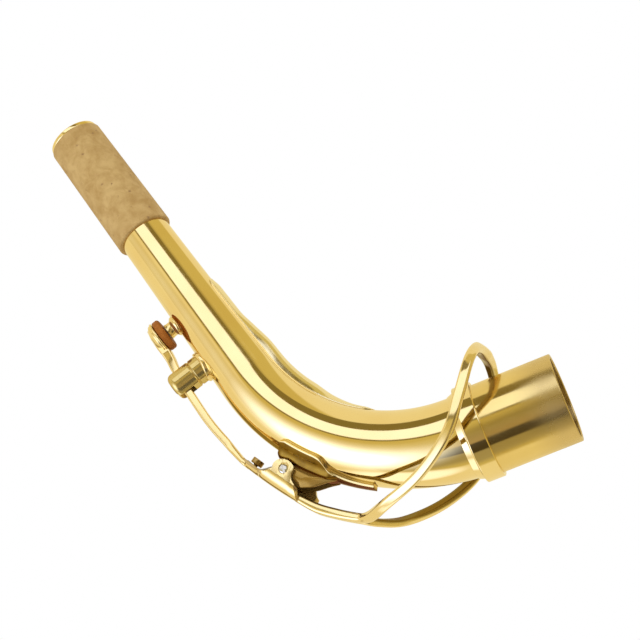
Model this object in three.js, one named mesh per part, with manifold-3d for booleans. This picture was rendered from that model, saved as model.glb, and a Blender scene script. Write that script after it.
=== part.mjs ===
// An alto saxophone neck, in millimetres, with +Z up.
// The origin is the middle of the collar's lower stop face. The tenon points down along -Z, the neck
// bends over towards +X, and Y runs across the bend. A station is a distance along the middle line
// of the neck, from the stop face, and a height is measured outwards from the skin of the tube.

import * as THREE from "three";
import { mergeVertices } from "three/addons/utils/BufferGeometryUtils.js";
import Module from "manifold-3d";

const wasm = await Module();
wasm.setup();

// Clearances
const FIT = 0.3; // between pieces that are soldered, glued or screwed together
const RUN = 0.4; // between pieces that move past each other
const OVERRUN = 2; // how far a cutting shape reaches past what it cuts

// Neck tube
const TIP_BORE = 12.4;
const TUBE_WALL = 0.7;
const ROOT_DIAMETER = 23.3; // outside, where the tube would meet the stop face
const NECK_LENGTH = 167.6; // from the stop face to the end of the tip ring
const BEND_START = 4.1;
const BEND_RADIUS = 54.8;
const BEND_DEGREES = 73.1;
const FLARE_SHARE = 0.82; // how much of the widening grows with the square of the distance

// Tenon and collar
const TENON_DIAMETER = 24.5;
const TENON_WALL = 0.9;
const TENON_LENGTH = 22.3; // below the stop face
const TENON_EDGE = 0.3; // bevel at the open end
const COLLAR_DIAMETER = 26.5;
const COLLAR_HEIGHT = 5;
const COLLAR_EDGE = 0.4;
const COLLAR_SHELF = 0.9; // thickness of the collar over the sleeve's upper end
const BAND_DIAMETER = 24.5; // the low band between the collar and the tube
const BAND_HEIGHT = 1.9;
const BAND_EDGE = 0.3;

// Cork and tip ring
const CORK_LENGTH = 38;
const CORK_TIP_DIAMETER = 15.7;
const CORK_ROOT_DIAMETER = 16.6;
const CORK_EDGE = 0.5;
const TIP_RING_DIAMETER = 14.9;
const TIP_RING_LENGTH = 1;
const TIP_RING_EDGE = 0.3;

// Brace along the inside of the bend
const BRACE_START = 33;
const BRACE_LENGTH = 71.5;
const BRACE_WIDTH = 6.6;
const BRACE_RISE = 2.1;

// Octave pip, which the pad closes
const PIP_BELOW_CORK = 28.3;
const PIP_BORE = 1.7;
const PIP_DIAMETER = 4;
const PIP_HEIGHT = 2.75;
const PIP_RIM_DIAMETER = 4.7;
const PIP_RIM_HEIGHT = 0.8;
const PIP_FOOT_DIAMETER = 6;
const PIP_FOOT_HEIGHT = 0.6;
const PIP_SPIGOT_WALL = 0.4;

// Guide, a forked post that keeps the key's arm over the pip
const GUIDE_BELOW_PIP = 14.9;
const GUIDE_DIAMETER = 7.8;
const GUIDE_HEIGHT = 10.4;
const GUIDE_FOOT_DIAMETER = 9;
const GUIDE_FOOT_HEIGHT = 0.7;
const GUIDE_NECK_HEIGHT = 3.1; // where the turned groove lies
const GUIDE_GROOVE = 0.35;
const GUIDE_DOME = 1.6;
const GUIDE_SLOT_HEIGHT = 5.2; // from the tube to the floor of the fork

// Pivot: plate, lugs and screw
const PIVOT_STATION = 49.8;
const PIVOT_HEIGHT = 3.85;
const PLATE_START = 29.5;
const PLATE_LENGTH = 23.6;
const PLATE_HALF_WIDTH = 7.9; // measured round the tube
const PLATE_THICKNESS = 0.8;
const LUG_THICKNESS = 1.6;
const LUG_SPACE = 4; // between the two lugs
const LUG_TOP = 2.6; // from the pivot's axis to the top of the lug
const LUG_TAIL = 11.6; // from the pivot's axis to the low end of the lug
const SCREW_DIAMETER = 1.6;
const SCREW_HEAD_DIAMETER = 2.5;
const SCREW_PROUD = 0.2;
const SCREW_SLOT_WIDTH = 0.5;
const SCREW_SLOT_DEPTH = 0.4;

// Key: saddle over the lugs, arm, pad cup, pad, stem and ring
const SADDLE_SHEET = 1.2;
const SADDLE_HEIGHT = 8.75; // outer face of its back at the arm end, over the tube
const SADDLE_LIFT = 1.15; // how much higher the back is at the ring end
const SADDLE_RING_END = 5.3; // from the pivot to the ring end of the saddle
const SADDLE_SKEW = 2.4; // how far that end slants towards the ring on its far side
const SADDLE_ARM_END = 9.6; // from the pivot to the arm end
const SADDLE_CORNER = 2.4;
const EAR_RADIUS = 2.6;
const NEAR_EAR_FLANK = 2.1; // from the pivot to the ear's edge on the ring side
const FAR_EAR_FLANK = 6.3;
const ARM_WIDTH = 2.6;
const ARM_HEIGHT = 2.3;
const ARM_OVER_TUBE = 6.1; // under the arm, at the guide
const CUP_DIAMETER = 9.8;
const CUP_HEIGHT = 1.6;
const CUP_WALL = 0.6;
const CUP_ROOF = 0.6;
const CUP_EDGE = 0.5;
const PAD_DIAMETER = 9.4;
const PAD_SHOWN = 2.1; // thickness of the pad below the cup
const PAD_EDGE = 0.5;
const CARD_THICKNESS = 0.4;
const STEM_WIDTH = 3.8;
const STEM_HEIGHT = 2.6;
const RING_REACH = 6.45; // from the collar to the middle of the ring's far end
const RING_FALL_DEGREES = 55; // slope of the line from the stem to that end, below level
const RING_BOW = 12.4; // how far the sides hang below that line
const RING_HALF_WIDTH = 20.4;
const RING_BAR_WIDTH = 3.1;
const RING_BAR_THICKNESS = 2.3;
const RING_BAR_EDGE = 0.3;
const STEM_STATION = 31.1; // where the stem meets the ring
const STEM_MIDDLE_HEIGHT = 9.3; // middle of the bar there

// Leaf spring and its screw
const SPRING_WIDTH = 2.6;
const SPRING_THICKNESS = 0.35;
const SPRING_TOUCH = 1.7; // from the pivot to where it lies down on the plate
const SPRING_TAIL = 5.5; // from the pivot to its free end
const SPRING_SCREW_OFFSET = 7.3; // from the pivot, towards the arm
const SPRING_SCREW_HEAD = 3.4;
const SPRING_SCREW_HEAD_HEIGHT = 1.6;
const SPRING_SCREW_SHANK = 1.2;

// Counts
const TUBE_SIDES = 32;
const RING_SIDES = 40;
const SMALL_SIDES = 20;
const BEND_STEPS = 20;
const STRAIGHT_STEPS = 6;
const LOOP_STEPS = 44;
const STEM_STEPS = 6;
const SPRING_STEPS = 16;

// Sizes that follow from those above
const TIP_DIAMETER = TIP_BORE + 2 * TUBE_WALL;
const BEND_ANGLE = THREE.MathUtils.degToRad(BEND_DEGREES);
const BEND_END = BEND_START + BEND_RADIUS * BEND_ANGLE;
const TUBE_END = NECK_LENGTH - TIP_RING_LENGTH - FIT;
const SLEEVE_TOP = COLLAR_HEIGHT - COLLAR_SHELF - FIT;
const TUBE_START = SLEEVE_TOP + FIT;
const CORK_ROOT = TUBE_END - CORK_LENGTH;
const PIP_STATION = CORK_ROOT - PIP_BELOW_CORK;
const GUIDE_STATION = PIP_STATION - GUIDE_BELOW_PIP;
const GUIDE_SLOT = ARM_WIDTH + 2 * RUN;
const EAR_INSIDE = LUG_SPACE / 2 + LUG_THICKNESS + FIT;
const SADDLE_HALF_WIDTH = EAR_INSIDE + SADDLE_SHEET;
const PAD_FACE = PIP_HEIGHT + FIT; // height of the pad's face over the tube, closed
const CUP_RIM = PAD_FACE + PAD_SHOWN + FIT;

// Middle line of the neck at a station: its place and how far it has turned from upright.
function middle(station) {
  const turned = THREE.MathUtils.clamp((station - BEND_START) / BEND_RADIUS, 0, BEND_ANGLE);
  const before = Math.min(station, BEND_START);
  const after = Math.max(station - BEND_END, 0);
  const x = BEND_RADIUS * (1 - Math.cos(turned)) + after * Math.sin(turned);
  const z = before + BEND_RADIUS * Math.sin(turned) + after * Math.cos(turned);
  return { x, z, turned };
}

// Outside radius of the tube, a quick flare at the collar and a slow one at the tip.
function tubeRadius(station) {
  const share = 1 - station / NECK_LENGTH;
  const flare = (1 - FLARE_SHARE) * share + FLARE_SHARE * share * share;
  return TIP_DIAMETER / 2 + (ROOT_DIAMETER / 2 - TIP_DIAMETER / 2) * flare;
}

// A point at a station, so far out from the middle line on the outer side of the bend.
function place(station, out, across = 0) {
  const { x, z, turned } = middle(station);
  return new THREE.Vector3(x - out * Math.cos(turned), across, z + out * Math.sin(turned));
}

// The direction straight out of the tube at a station, on the outer side of the bend.
function outwards(station) {
  const { turned } = middle(station);
  return new THREE.Vector3(-Math.cos(turned), 0, Math.sin(turned));
}

// A point at a station and a height over the tube's outer side.
function over(station, height, across = 0) {
  return place(station, tubeRadius(station) + height, across);
}

// A point of the circle round the middle line, with its angle from the outer side of the bend.
function round(station, radius, angle) {
  return place(station, radius * Math.cos(angle), radius * Math.sin(angle));
}

function circle(station, radius, sides) {
  return Array.from({ length: sides }, (_, i) => round(station, radius, (2 * Math.PI * i) / sides));
}

function steps(from, to, count) {
  return Array.from({ length: count + 1 }, (_, i) => from + ((to - from) * i) / count);
}

const LEAST_STEP_SHARE = 0.25; // shortest step at the ends of a sweep, of a step in the bend

// Stations for a sweep: close together in the bend and wider apart where the neck is straight.
function sweepStations(from, to) {
  const bend = steps(BEND_START, BEND_END, BEND_STEPS);
  const straight = steps(BEND_END, TUBE_END, STRAIGHT_STEPS).slice(1);
  const least = (LEAST_STEP_SHARE * (BEND_END - BEND_START)) / BEND_STEPS;
  const inside = [...bend, ...straight].filter((s) => s > from + least && s < to - least);
  return [from, ...inside, to];
}

// A value read from a table of [share, value] rows, straight between the rows.
function along(table, share) {
  const after = table.findIndex(([at]) => at >= share);
  if (after <= 0) return table[after < 0 ? table.length - 1 : 0][1];
  const [[a, low], [b, high]] = [table[after - 1], table[after]];
  return THREE.MathUtils.mapLinear(share, a, b, low, high);
}

// Geometry from points and faces, with the faces turned to point outwards.
function shell(points, faces) {
  let volume = 0;
  for (const [a, b, c] of faces) {
    volume += points[a].dot(new THREE.Vector3().crossVectors(points[b], points[c]));
  }
  const index = faces.flatMap(([a, b, c]) => (volume < 0 ? [a, c, b] : [a, b, c]));
  return new THREE.BufferGeometry().setFromPoints(points).setIndex(index);
}

// A closed body through rings of equal count. The ends are capped with a fan, or with a strip where
// a ring runs out along one face and back along the other, or the last ring is joined to the first.
function loft(rings, ends = "fan") {
  const count = rings[0].length;
  const points = rings.flat();
  const faces = [];
  const spans = ends === "joined" ? rings.length : rings.length - 1;
  for (let i = 0; i < spans; i++) {
    const a = i * count;
    const b = ((i + 1) % rings.length) * count;
    for (let j = 0; j < count; j++) {
      const k = (j + 1) % count;
      faces.push([a + j, a + k, b + k], [a + j, b + k, b + j]);
    }
  }
  for (const [first, flip] of [[0, true], [(rings.length - 1) * count, false]]) {
    const add = (p, q, r) => faces.push(flip ? [p, r, q] : [p, q, r]);
    if (ends === "fan") {
      const hub = new THREE.Vector3();
      for (let j = 0; j < count; j++) hub.addScaledVector(points[first + j], 1 / count);
      points.push(hub);
      for (let j = 0; j < count; j++) add(points.length - 1, first + j, first + ((j + 1) % count));
    }
    if (ends === "strip") {
      for (let j = 0; j + 1 < count / 2; j++) {
        const far = first + count - 1 - j;
        add(first + j, first + j + 1, far - 1);
        add(first + j, far - 1, far);
      }
    }
  }
  return shell(points, faces);
}

// A sheet with an outer and an inner face, each a grid of points.
function sheet(outer, inner) {
  return loft(outer.map((row, i) => [...row, ...inner[i].slice().reverse()]), "strip");
}

// A pipe round the middle line, from rows of [station, outer radius] and [station, inner radius].
function pipe(outer, inner, sides) {
  const there = outer.map(([station, radius]) => circle(station, radius, sides));
  const back = inner.map(([station, radius]) => circle(station, radius, sides)).reverse();
  return loft([...there, ...back], "joined");
}

// A solid that fills the neck out to a height over the tube, to cut seats that fit the tube.
function filled(height, from, to) {
  const stations = sweepStations(from, to);
  return loft(stations.map((s) => circle(s, tubeRadius(s) + height, TUBE_SIDES)));
}

// A turned shape from [radius, height] rows, closed on itself or on its axis.
function turned(rows, sides = SMALL_SIDES) {
  return new THREE.LatheGeometry(rows.map(([r, h]) => new THREE.Vector2(r, h)), sides);
}

// Stands a shape on the tube: its own Y points outwards, and its height zero is the tube's skin.
function standing(geometry, station) {
  const outward = outwards(station);
  const forward = new THREE.Vector3(outward.z, 0, -outward.x);
  const aside = new THREE.Vector3().crossVectors(forward, outward);
  const frame = new THREE.Matrix4().makeBasis(forward, outward, aside);
  return geometry.applyMatrix4(frame.setPosition(over(station, 0)));
}

// A rod along Y through a point of the bend plane.
function rodAcross(point, diameter, from, to, sides = SMALL_SIDES) {
  const rod = new THREE.CylinderGeometry(diameter / 2, diameter / 2, to - from, sides);
  return rod.translate(point.x, (from + to) / 2, point.z);
}

// A plate cut to an outline in the bend plane, between two places across it.
function plateAcross(outline, from, to) {
  const shape = new THREE.Shape(outline.map((p) => new THREE.Vector2(p.x, p.z)));
  const plate = new THREE.ExtrudeGeometry(shape, { depth: to - from, bevelEnabled: false });
  return plate.rotateX(Math.PI / 2).translate(0, to, 0);
}

function solidOf(geometry) {
  const bare = geometry.index ? geometry.toNonIndexed() : geometry.clone();
  bare.deleteAttribute("normal");
  bare.deleteAttribute("uv");
  const merged = mergeVertices(bare);
  const vertProperties = merged.attributes.position.array;
  const triVerts = new Uint32Array(merged.index.array);
  return new wasm.Manifold(new wasm.Mesh({ numProp: 3, vertProperties, triVerts }));
}

function geometryOf(solid) {
  const mesh = solid.getMesh();
  const position = new THREE.BufferAttribute(mesh.vertProperties, 3);
  const index = new THREE.BufferAttribute(mesh.triVerts, 1);
  return new THREE.BufferGeometry().setAttribute("position", position).setIndex(index);
}

function cut(geometry, ...tools) {
  return geometryOf(tools.reduce((left, tool) => left.subtract(solidOf(tool)), solidOf(geometry)));
}

function join(geometry, ...others) {
  return geometryOf(others.reduce((all, other) => all.add(solidOf(other)), solidOf(geometry)));
}

function overlapOf(geometry, other) {
  return geometryOf(solidOf(geometry).intersect(solidOf(other)));
}

const lacquer = new THREE.MeshStandardMaterial({ color: 0xe0b050, metalness: 1, roughness: 0.18 });
const bareBrass = new THREE.MeshStandardMaterial({ color: 0xc09a4c, metalness: 1, roughness: 0.3 });
const steel = new THREE.MeshStandardMaterial({ color: 0xc8c6c2, metalness: 1, roughness: 0.25 });
const springSteel = new THREE.MeshStandardMaterial({ color: 0x5a6070, metalness: 1, roughness: 0.35 });
const cork = new THREE.MeshStandardMaterial({ color: 0xc8a468, metalness: 0, roughness: 0.85 });
const leather = new THREE.MeshStandardMaterial({ color: 0x8a4a1c, metalness: 0, roughness: 0.6 });
const card = new THREE.MeshStandardMaterial({ color: 0xb09a78, metalness: 0, roughness: 0.9 });

// Body of the neck

function neckTube() {
  const stations = sweepStations(TUBE_START, TUBE_END);
  const outer = stations.map((s) => [s, tubeRadius(s)]);
  const inner = stations.map((s) => [s, tubeRadius(s) - TUBE_WALL]);
  const hole = PIP_BORE + 2 * PIP_SPIGOT_WALL + 2 * FIT;
  const drill = new THREE.CylinderGeometry(hole / 2, hole / 2, 2 * OVERRUN, SMALL_SIDES);
  return cut(pipe(outer, inner, TUBE_SIDES), standing(drill, PIP_STATION));
}

function tipRing() {
  const from = TUBE_END + FIT;
  const outside = TIP_RING_DIAMETER / 2;
  const edge = TIP_RING_EDGE;
  const outer = [
    [from, outside - edge],
    [from + edge, outside],
    [NECK_LENGTH - edge, outside],
    [NECK_LENGTH, outside - edge],
  ];
  const inner = [[from, TIP_BORE / 2], [NECK_LENGTH, TIP_BORE / 2]];
  return pipe(outer, inner, TUBE_SIDES);
}

function neckCork() {
  const outside = (s) =>
    THREE.MathUtils.mapLinear(s, CORK_ROOT, TUBE_END, CORK_ROOT_DIAMETER, CORK_TIP_DIAMETER) / 2;
  const outer = [
    [CORK_ROOT, outside(CORK_ROOT)],
    [TUBE_END - CORK_EDGE, outside(TUBE_END - CORK_EDGE)],
    [TUBE_END, outside(TUBE_END) - CORK_EDGE],
  ];
  const inner = steps(CORK_ROOT, TUBE_END, STRAIGHT_STEPS).map((s) => [s, tubeRadius(s) + FIT]);
  return pipe(outer, inner, TUBE_SIDES);
}

function tenonSleeve() {
  const outside = TENON_DIAMETER / 2;
  const inside = outside - TENON_WALL;
  const profile = [
    [inside, -TENON_LENGTH],
    [outside - TENON_EDGE, -TENON_LENGTH],
    [outside, -TENON_LENGTH + TENON_EDGE],
    [outside, SLEEVE_TOP],
    [inside, SLEEVE_TOP],
    [inside, -TENON_LENGTH],
  ];
  return turned(profile, RING_SIDES).rotateX(Math.PI / 2);
}

function tenonCollar() {
  const outside = COLLAR_DIAMETER / 2;
  const band = BAND_DIAMETER / 2;
  const top = COLLAR_HEIGHT + BAND_HEIGHT;
  const shelf = SLEEVE_TOP + FIT;
  const overSleeve = TENON_DIAMETER / 2 + FIT;
  const overTube = tubeRadius(TUBE_START) + FIT;
  const profile = [
    [overSleeve, 0],
    [outside, 0],
    [outside, COLLAR_HEIGHT - COLLAR_EDGE],
    [outside - COLLAR_EDGE, COLLAR_HEIGHT],
    [band, COLLAR_HEIGHT],
    [band, top - BAND_EDGE],
    [band - BAND_EDGE, top],
    [overTube, top],
    [overTube, shelf],
    [overSleeve, shelf],
    [overSleeve, 0],
  ];
  return turned(profile, RING_SIDES).rotateX(Math.PI / 2);
}

// How high the brace stands at each share of its length: low ends and a raised middle.
const BRACE_RISE_SHARES = [
  [0, 0.2],
  [0.08, 0.24],
  [0.22, 0.6],
  [0.34, 1],
  [0.62, 1],
  [0.74, 0.55],
  [0.82, 0.22],
  [1, 0.2],
];
const BRACE_CROWN_SHARES = [0, 0.62, 0.9, 1, 0.9, 0.62, 0]; // its arched section

function neckBrace() {
  const stations = sweepStations(BRACE_START, BRACE_START + BRACE_LENGTH);
  const seat = (s) => tubeRadius(s) + FIT;
  const lift = (s) => BRACE_RISE * along(BRACE_RISE_SHARES, (s - BRACE_START) / BRACE_LENGTH);
  const angles = (s) => steps(-1, 1, BRACE_CROWN_SHARES.length - 1)
    .map((share) => Math.PI + (share * BRACE_WIDTH) / 2 / seat(s));
  const edge = BRACE_RISE * BRACE_RISE_SHARES[0][1];
  const top = stations.map((s) => angles(s).map((angle, j) => {
    const crown = edge + (lift(s) - edge) * BRACE_CROWN_SHARES[j];
    return round(s, seat(s) + crown, angle);
  }));
  const under = stations.map((s) => angles(s).map((angle) => round(s, seat(s), angle)));
  return sheet(top, under);
}

function octavePip() {
  const spigot = PIP_BORE / 2 + PIP_SPIGOT_WALL;
  const foot = PIP_FOOT_DIAMETER / 2;
  const stem = PIP_DIAMETER / 2;
  const rim = PIP_RIM_DIAMETER / 2;
  const body = turned([
    [0, -OVERRUN],
    [foot, -OVERRUN],
    [foot, PIP_FOOT_HEIGHT / 2],
    [stem, PIP_FOOT_HEIGHT],
    [stem, PIP_HEIGHT - PIP_RIM_HEIGHT],
    [rim, PIP_HEIGHT - PIP_RIM_HEIGHT / 2],
    [rim, PIP_HEIGHT],
    [0, PIP_HEIGHT],
  ]);
  const inTube = turned([
    [0, -TUBE_WALL],
    [spigot, -TUBE_WALL],
    [spigot, PIP_FOOT_HEIGHT],
    [0, PIP_FOOT_HEIGHT],
  ]);
  const drill = new THREE.CylinderGeometry(
    PIP_BORE / 2,
    PIP_BORE / 2,
    2 * (PIP_HEIGHT + OVERRUN),
    SMALL_SIDES,
  );
  const from = PIP_STATION - PIP_FOOT_DIAMETER;
  const to = PIP_STATION + PIP_FOOT_DIAMETER;
  const seated = cut(standing(body, PIP_STATION), filled(FIT, from, to));
  return cut(join(seated, standing(inTube, PIP_STATION)), standing(drill, PIP_STATION));
}

// Guide

function guideFoot() {
  const disc = new THREE.CylinderGeometry(
    GUIDE_FOOT_DIAMETER / 2,
    GUIDE_FOOT_DIAMETER / 2,
    2 * (OVERRUN + GUIDE_FOOT_HEIGHT),
    SMALL_SIDES,
  );
  const from = GUIDE_STATION - GUIDE_FOOT_DIAMETER;
  const to = GUIDE_STATION + GUIDE_FOOT_DIAMETER;
  const skin = filled(FIT + GUIDE_FOOT_HEIGHT, from, to);
  return cut(overlapOf(standing(disc, GUIDE_STATION), skin), filled(FIT, from - OVERRUN, to + OVERRUN));
}

function guidePost() {
  const radius = GUIDE_DIAMETER / 2;
  const post = turned([
    [0, -OVERRUN],
    [radius, -OVERRUN],
    [radius, GUIDE_NECK_HEIGHT - GUIDE_GROOVE],
    [radius - GUIDE_GROOVE, GUIDE_NECK_HEIGHT],
    [radius, GUIDE_NECK_HEIGHT + GUIDE_GROOVE],
    [radius, GUIDE_HEIGHT - GUIDE_DOME],
    [radius - GUIDE_DOME * (1 - Math.SQRT1_2), GUIDE_HEIGHT - GUIDE_DOME * (1 - Math.SQRT1_2)],
    [radius - GUIDE_DOME, GUIDE_HEIGHT],
    [0, GUIDE_HEIGHT],
  ]);
  const slotHeight = GUIDE_HEIGHT - GUIDE_SLOT_HEIGHT + OVERRUN;
  const slot = new THREE.BoxGeometry(2 * GUIDE_DIAMETER, slotHeight, GUIDE_SLOT);
  slot.translate(0, GUIDE_SLOT_HEIGHT + slotHeight / 2, 0);
  const from = GUIDE_STATION - GUIDE_DIAMETER;
  const to = GUIDE_STATION + GUIDE_DIAMETER;
  const seat = filled(FIT + GUIDE_FOOT_HEIGHT + FIT, from, to);
  return cut(standing(post, GUIDE_STATION), seat, standing(slot, GUIDE_STATION));
}

// Pivot

// Half the width of the saddle plate at each share of its length: a narrow tail and a broad head.
const PLATE_WIDTH_SHARES = [
  [0, 0.24],
  [0.2, 0.33],
  [0.42, 0.58],
  [0.55, 0.96],
  [0.62, 1],
  [0.94, 1],
  [1, 0.92],
];
const PLATE_COLUMNS = 10;

function saddlePlate() {
  const stations = PLATE_WIDTH_SHARES.map(([share]) => PLATE_START + share * PLATE_LENGTH);
  const face = (height) => stations.map((s, i) => {
    const reach = (PLATE_WIDTH_SHARES[i][1] * PLATE_HALF_WIDTH) / tubeRadius(s);
    return steps(-reach, reach, PLATE_COLUMNS).map((angle) => round(s, tubeRadius(s) + height, angle));
  });
  return sheet(face(FIT + PLATE_THICKNESS), face(FIT));
}

const PIVOT = over(PIVOT_STATION, PIVOT_HEIGHT);

// A lug's round shoulder on the arm's side: offset and height from the pivot's axis, of its top.
const LUG_SHOULDER_SHARES = [
  [1, 0.33],
  [0.7, 0.8],
  [0, 1],
];
// Its slope down to the low end: shares of its tail, and of its whole height over the tube.
const LUG_SLOPE_SHARES = [
  [0.36, 1],
  [0.62, 0.73],
  [0.84, 0.36],
];

// The side of a lug, round over the pivot and sloping down to its tail.
function lugOutline() {
  const tail = PIVOT_STATION - LUG_TAIL;
  const shoulder = LUG_SHOULDER_SHARES.map(([offset, height]) =>
    over(PIVOT_STATION + offset * LUG_TOP, PIVOT_HEIGHT + height * LUG_TOP));
  const slope = LUG_SLOPE_SHARES.map(([offset, height]) =>
    over(PIVOT_STATION - offset * LUG_TAIL, height * (PIVOT_HEIGHT + LUG_TOP)));
  return [
    over(PIVOT_STATION + LUG_TOP, -OVERRUN),
    ...shoulder,
    ...slope,
    over(tail, FIT + PLATE_THICKNESS + FIT),
    over(tail, -OVERRUN),
  ];
}

function saddleLug(side) {
  const inner = LUG_SPACE / 2;
  const outer = inner + LUG_THICKNESS;
  const [from, to] = side < 0 ? [-outer, -inner] : [inner, outer];
  const hole = rodAcross(PIVOT, SCREW_DIAMETER + 2 * FIT, from - OVERRUN, to + OVERRUN);
  const start = PIVOT_STATION - LUG_TAIL - 2 * OVERRUN;
  const seat = filled(FIT + PLATE_THICKNESS + FIT, start, PIVOT_STATION + LUG_TOP + 2 * OVERRUN);
  return cut(plateAcross(lugOutline(), from, to), hole, seat);
}

function pivotScrew() {
  const near = -SADDLE_HALF_WIDTH - SCREW_PROUD;
  const shoulder = -EAR_INSIDE;
  const shank = rodAcross(PIVOT, SCREW_DIAMETER, shoulder - SADDLE_SHEET / 2, SADDLE_HALF_WIDTH);
  const head = rodAcross(PIVOT, SCREW_HEAD_DIAMETER, near, shoulder);
  const slot = new THREE.BoxGeometry(2 * SCREW_HEAD_DIAMETER, 2 * SCREW_SLOT_DEPTH, SCREW_SLOT_WIDTH);
  slot.rotateY(-middle(PIVOT_STATION).turned).translate(PIVOT.x, near, PIVOT.z);
  return cut(join(shank, head), slot);
}

// Key

// The saddle's sheet: half its width at each share of its length, from the ring end to the arm end.
const SADDLE_WIDTH_SHARES = [
  [0, 0.94],
  [0.14, 1],
  [0.6, 1],
  [0.75, 0.66],
  [1, 0.56],
];
const EAR_TURN_SHARE = 0.15; // how far round the ear's edge starts above the pivot, of half a turn
const EAR_SLOPE_SHARE = 0.1; // rise of an ear's lower edge towards its flank, of its length
const EAR_STEPS = 7;
const SADDLE_ROWS = 8;
const CORNER_STEPS = 3;

// Height of the saddle's outer face at an offset from the pivot, counted towards the arm.
function saddleBack(offset) {
  const share = (SADDLE_ARM_END - offset) / (SADDLE_ARM_END + SADDLE_RING_END);
  return SADDLE_HEIGHT + SADDLE_LIFT * share * share;
}

// One U-shaped section of the sheet, inset by a thickness. The far side leads towards the ring.
function saddleSection(offset, inset) {
  const share = (offset + SADDLE_RING_END) / (SADDLE_RING_END + SADDLE_ARM_END);
  const half = SADDLE_HALF_WIDTH * along(SADDLE_WIDTH_SHARES, share);
  const corner = Math.min(SADDLE_CORNER, half - SADDLE_SHEET / 2) - inset;
  const back = saddleBack(offset) - inset;
  const low = PIVOT_HEIGHT - EAR_RADIUS - FIT;
  const bends = steps(0, Math.PI / 2, CORNER_STEPS);
  const near = bends.map((a) => [
    back - corner * (1 - Math.sin(a)),
    -half + inset + corner * (1 - Math.cos(a)),
  ]);
  const far = near.map(([height, across]) => [height, -across]).reverse();
  return [[low, -half + inset], ...near, ...far, [low, half - inset]].map(([height, across]) => {
    const slant = (SADDLE_SKEW * (1 - share) * across) / SADDLE_HALF_WIDTH;
    return over(PIVOT_STATION + offset - slant, height, across);
  });
}

// The saddle seen from the side: a round ear at the pivot under a low back.
function saddleSide(ringFlank) {
  const at = (offset, height) => over(PIVOT_STATION + offset, height);
  const arc = steps(-EAR_TURN_SHARE, 1, EAR_STEPS).map((share) => {
    const angle = Math.PI * share;
    const offset = Math.max(EAR_RADIUS * Math.cos(angle), -ringFlank);
    return at(offset, PIVOT_HEIGHT - EAR_RADIUS * Math.sin(angle));
  });
  const top = SADDLE_HEIGHT + SADDLE_LIFT + OVERRUN;
  const shoulder = SADDLE_HEIGHT - SADDLE_CORNER / 2;
  const armEnd = SADDLE_ARM_END + OVERRUN;
  const ringEnd = -SADDLE_RING_END - SADDLE_SKEW - OVERRUN;
  return [
    ...arc,
    at(-ringFlank, PIVOT_HEIGHT + ringFlank * EAR_SLOPE_SHARE),
    at(-ringFlank, shoulder),
    at(ringEnd, shoulder),
    at(ringEnd, top),
    at(0, top),
    at(armEnd, top),
    at(armEnd, SADDLE_HEIGHT - SADDLE_SHEET - FIT),
    at(SADDLE_SHEET + EAR_RADIUS, SADDLE_HEIGHT - SADDLE_SHEET - FIT),
  ];
}

function keySaddle() {
  const offsets = steps(-SADDLE_RING_END, SADDLE_ARM_END, SADDLE_ROWS);
  const face = (inset) => offsets.map((offset) => saddleSection(offset, inset));
  const channel = sheet(face(0), face(SADDLE_SHEET));
  const wide = SADDLE_HALF_WIDTH + OVERRUN;
  const near = plateAcross(saddleSide(NEAR_EAR_FLANK), -wide, 0);
  const far = plateAcross(saddleSide(FAR_EAR_FLANK), 0, wide);
  const shaped = overlapOf(channel, join(near, far));
  const shankHole = rodAcross(PIVOT, SCREW_DIAMETER + 2 * FIT, 0, wide);
  const headHole = rodAcross(PIVOT, SCREW_HEAD_DIAMETER + 2 * FIT, -wide, 0);
  const screwHole = springScrewShape(SPRING_SCREW_SHANK + 2 * FIT, -OVERRUN, OVERRUN);
  return cut(shaped, shankHole, headHole, screwHole);
}

// The arm's under side and its height, at shares of the way from the saddle to the pad cup.
const ARM_UNDER_SHARES = [
  [0, 1.2],
  [0.1, 1.09],
  [0.2, 1.02],
  [0.4, 1.03],
  [0.6, 1.02],
  [0.85, 0.94],
  [0.93, 0.86],
  [1, 0.82],
];
const ARM_HEIGHT_SHARES = [
  [0, 0.68],
  [0.2, 0.95],
  [0.8, 1],
  [0.9, 1.07],
  [1, 1.18],
];
const ARM_ROWS = 14;
const RIB_REACH_SHARE = 0.4; // how far over the cup the arm's rib goes, of the cup's diameter
const RIB_END_SHARE = 0.2; // its height at its end, of the arm's height
const RIB_MIDDLE_SHARE = 0.4;

function keyArm() {
  const from = PIVOT_STATION + SADDLE_ARM_END + FIT;
  const cupEdge = PIP_STATION - CUP_DIAMETER / 2 - FIT;
  const shares = steps(0, 1, ARM_ROWS);
  const station = (share) => from + (cupEdge - from) * share;
  const under = (share) => ARM_OVER_TUBE * along(ARM_UNDER_SHARES, share);
  const top = (share) => under(share) + ARM_HEIGHT * along(ARM_HEIGHT_SHARES, share);
  const lower = shares.map((share) => over(station(share), under(share)));
  const upper = shares.map((share) => over(station(share), top(share)));
  const roof = CUP_RIM + CUP_HEIGHT + FIT;
  const reach = PIP_STATION + CUP_DIAMETER * RIB_REACH_SHARE;
  const onCup = [
    over(cupEdge, roof),
    over(reach, roof),
    over(reach, roof + ARM_HEIGHT * RIB_END_SHARE),
    over(PIP_STATION, roof + ARM_HEIGHT * RIB_MIDDLE_SHARE),
  ];
  return plateAcross([...lower, ...onCup, ...upper.reverse()], -ARM_WIDTH / 2, ARM_WIDTH / 2);
}

function padCup() {
  const outside = CUP_DIAMETER / 2;
  const inside = outside - CUP_WALL;
  const top = CUP_RIM + CUP_HEIGHT;
  return standing(turned([
    [0, top - CUP_ROOF],
    [inside, top - CUP_ROOF],
    [inside, CUP_RIM],
    [outside, CUP_RIM],
    [outside, top - CUP_EDGE],
    [outside - CUP_EDGE, top],
    [0, top],
  ], RING_SIDES), PIP_STATION);
}

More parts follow.
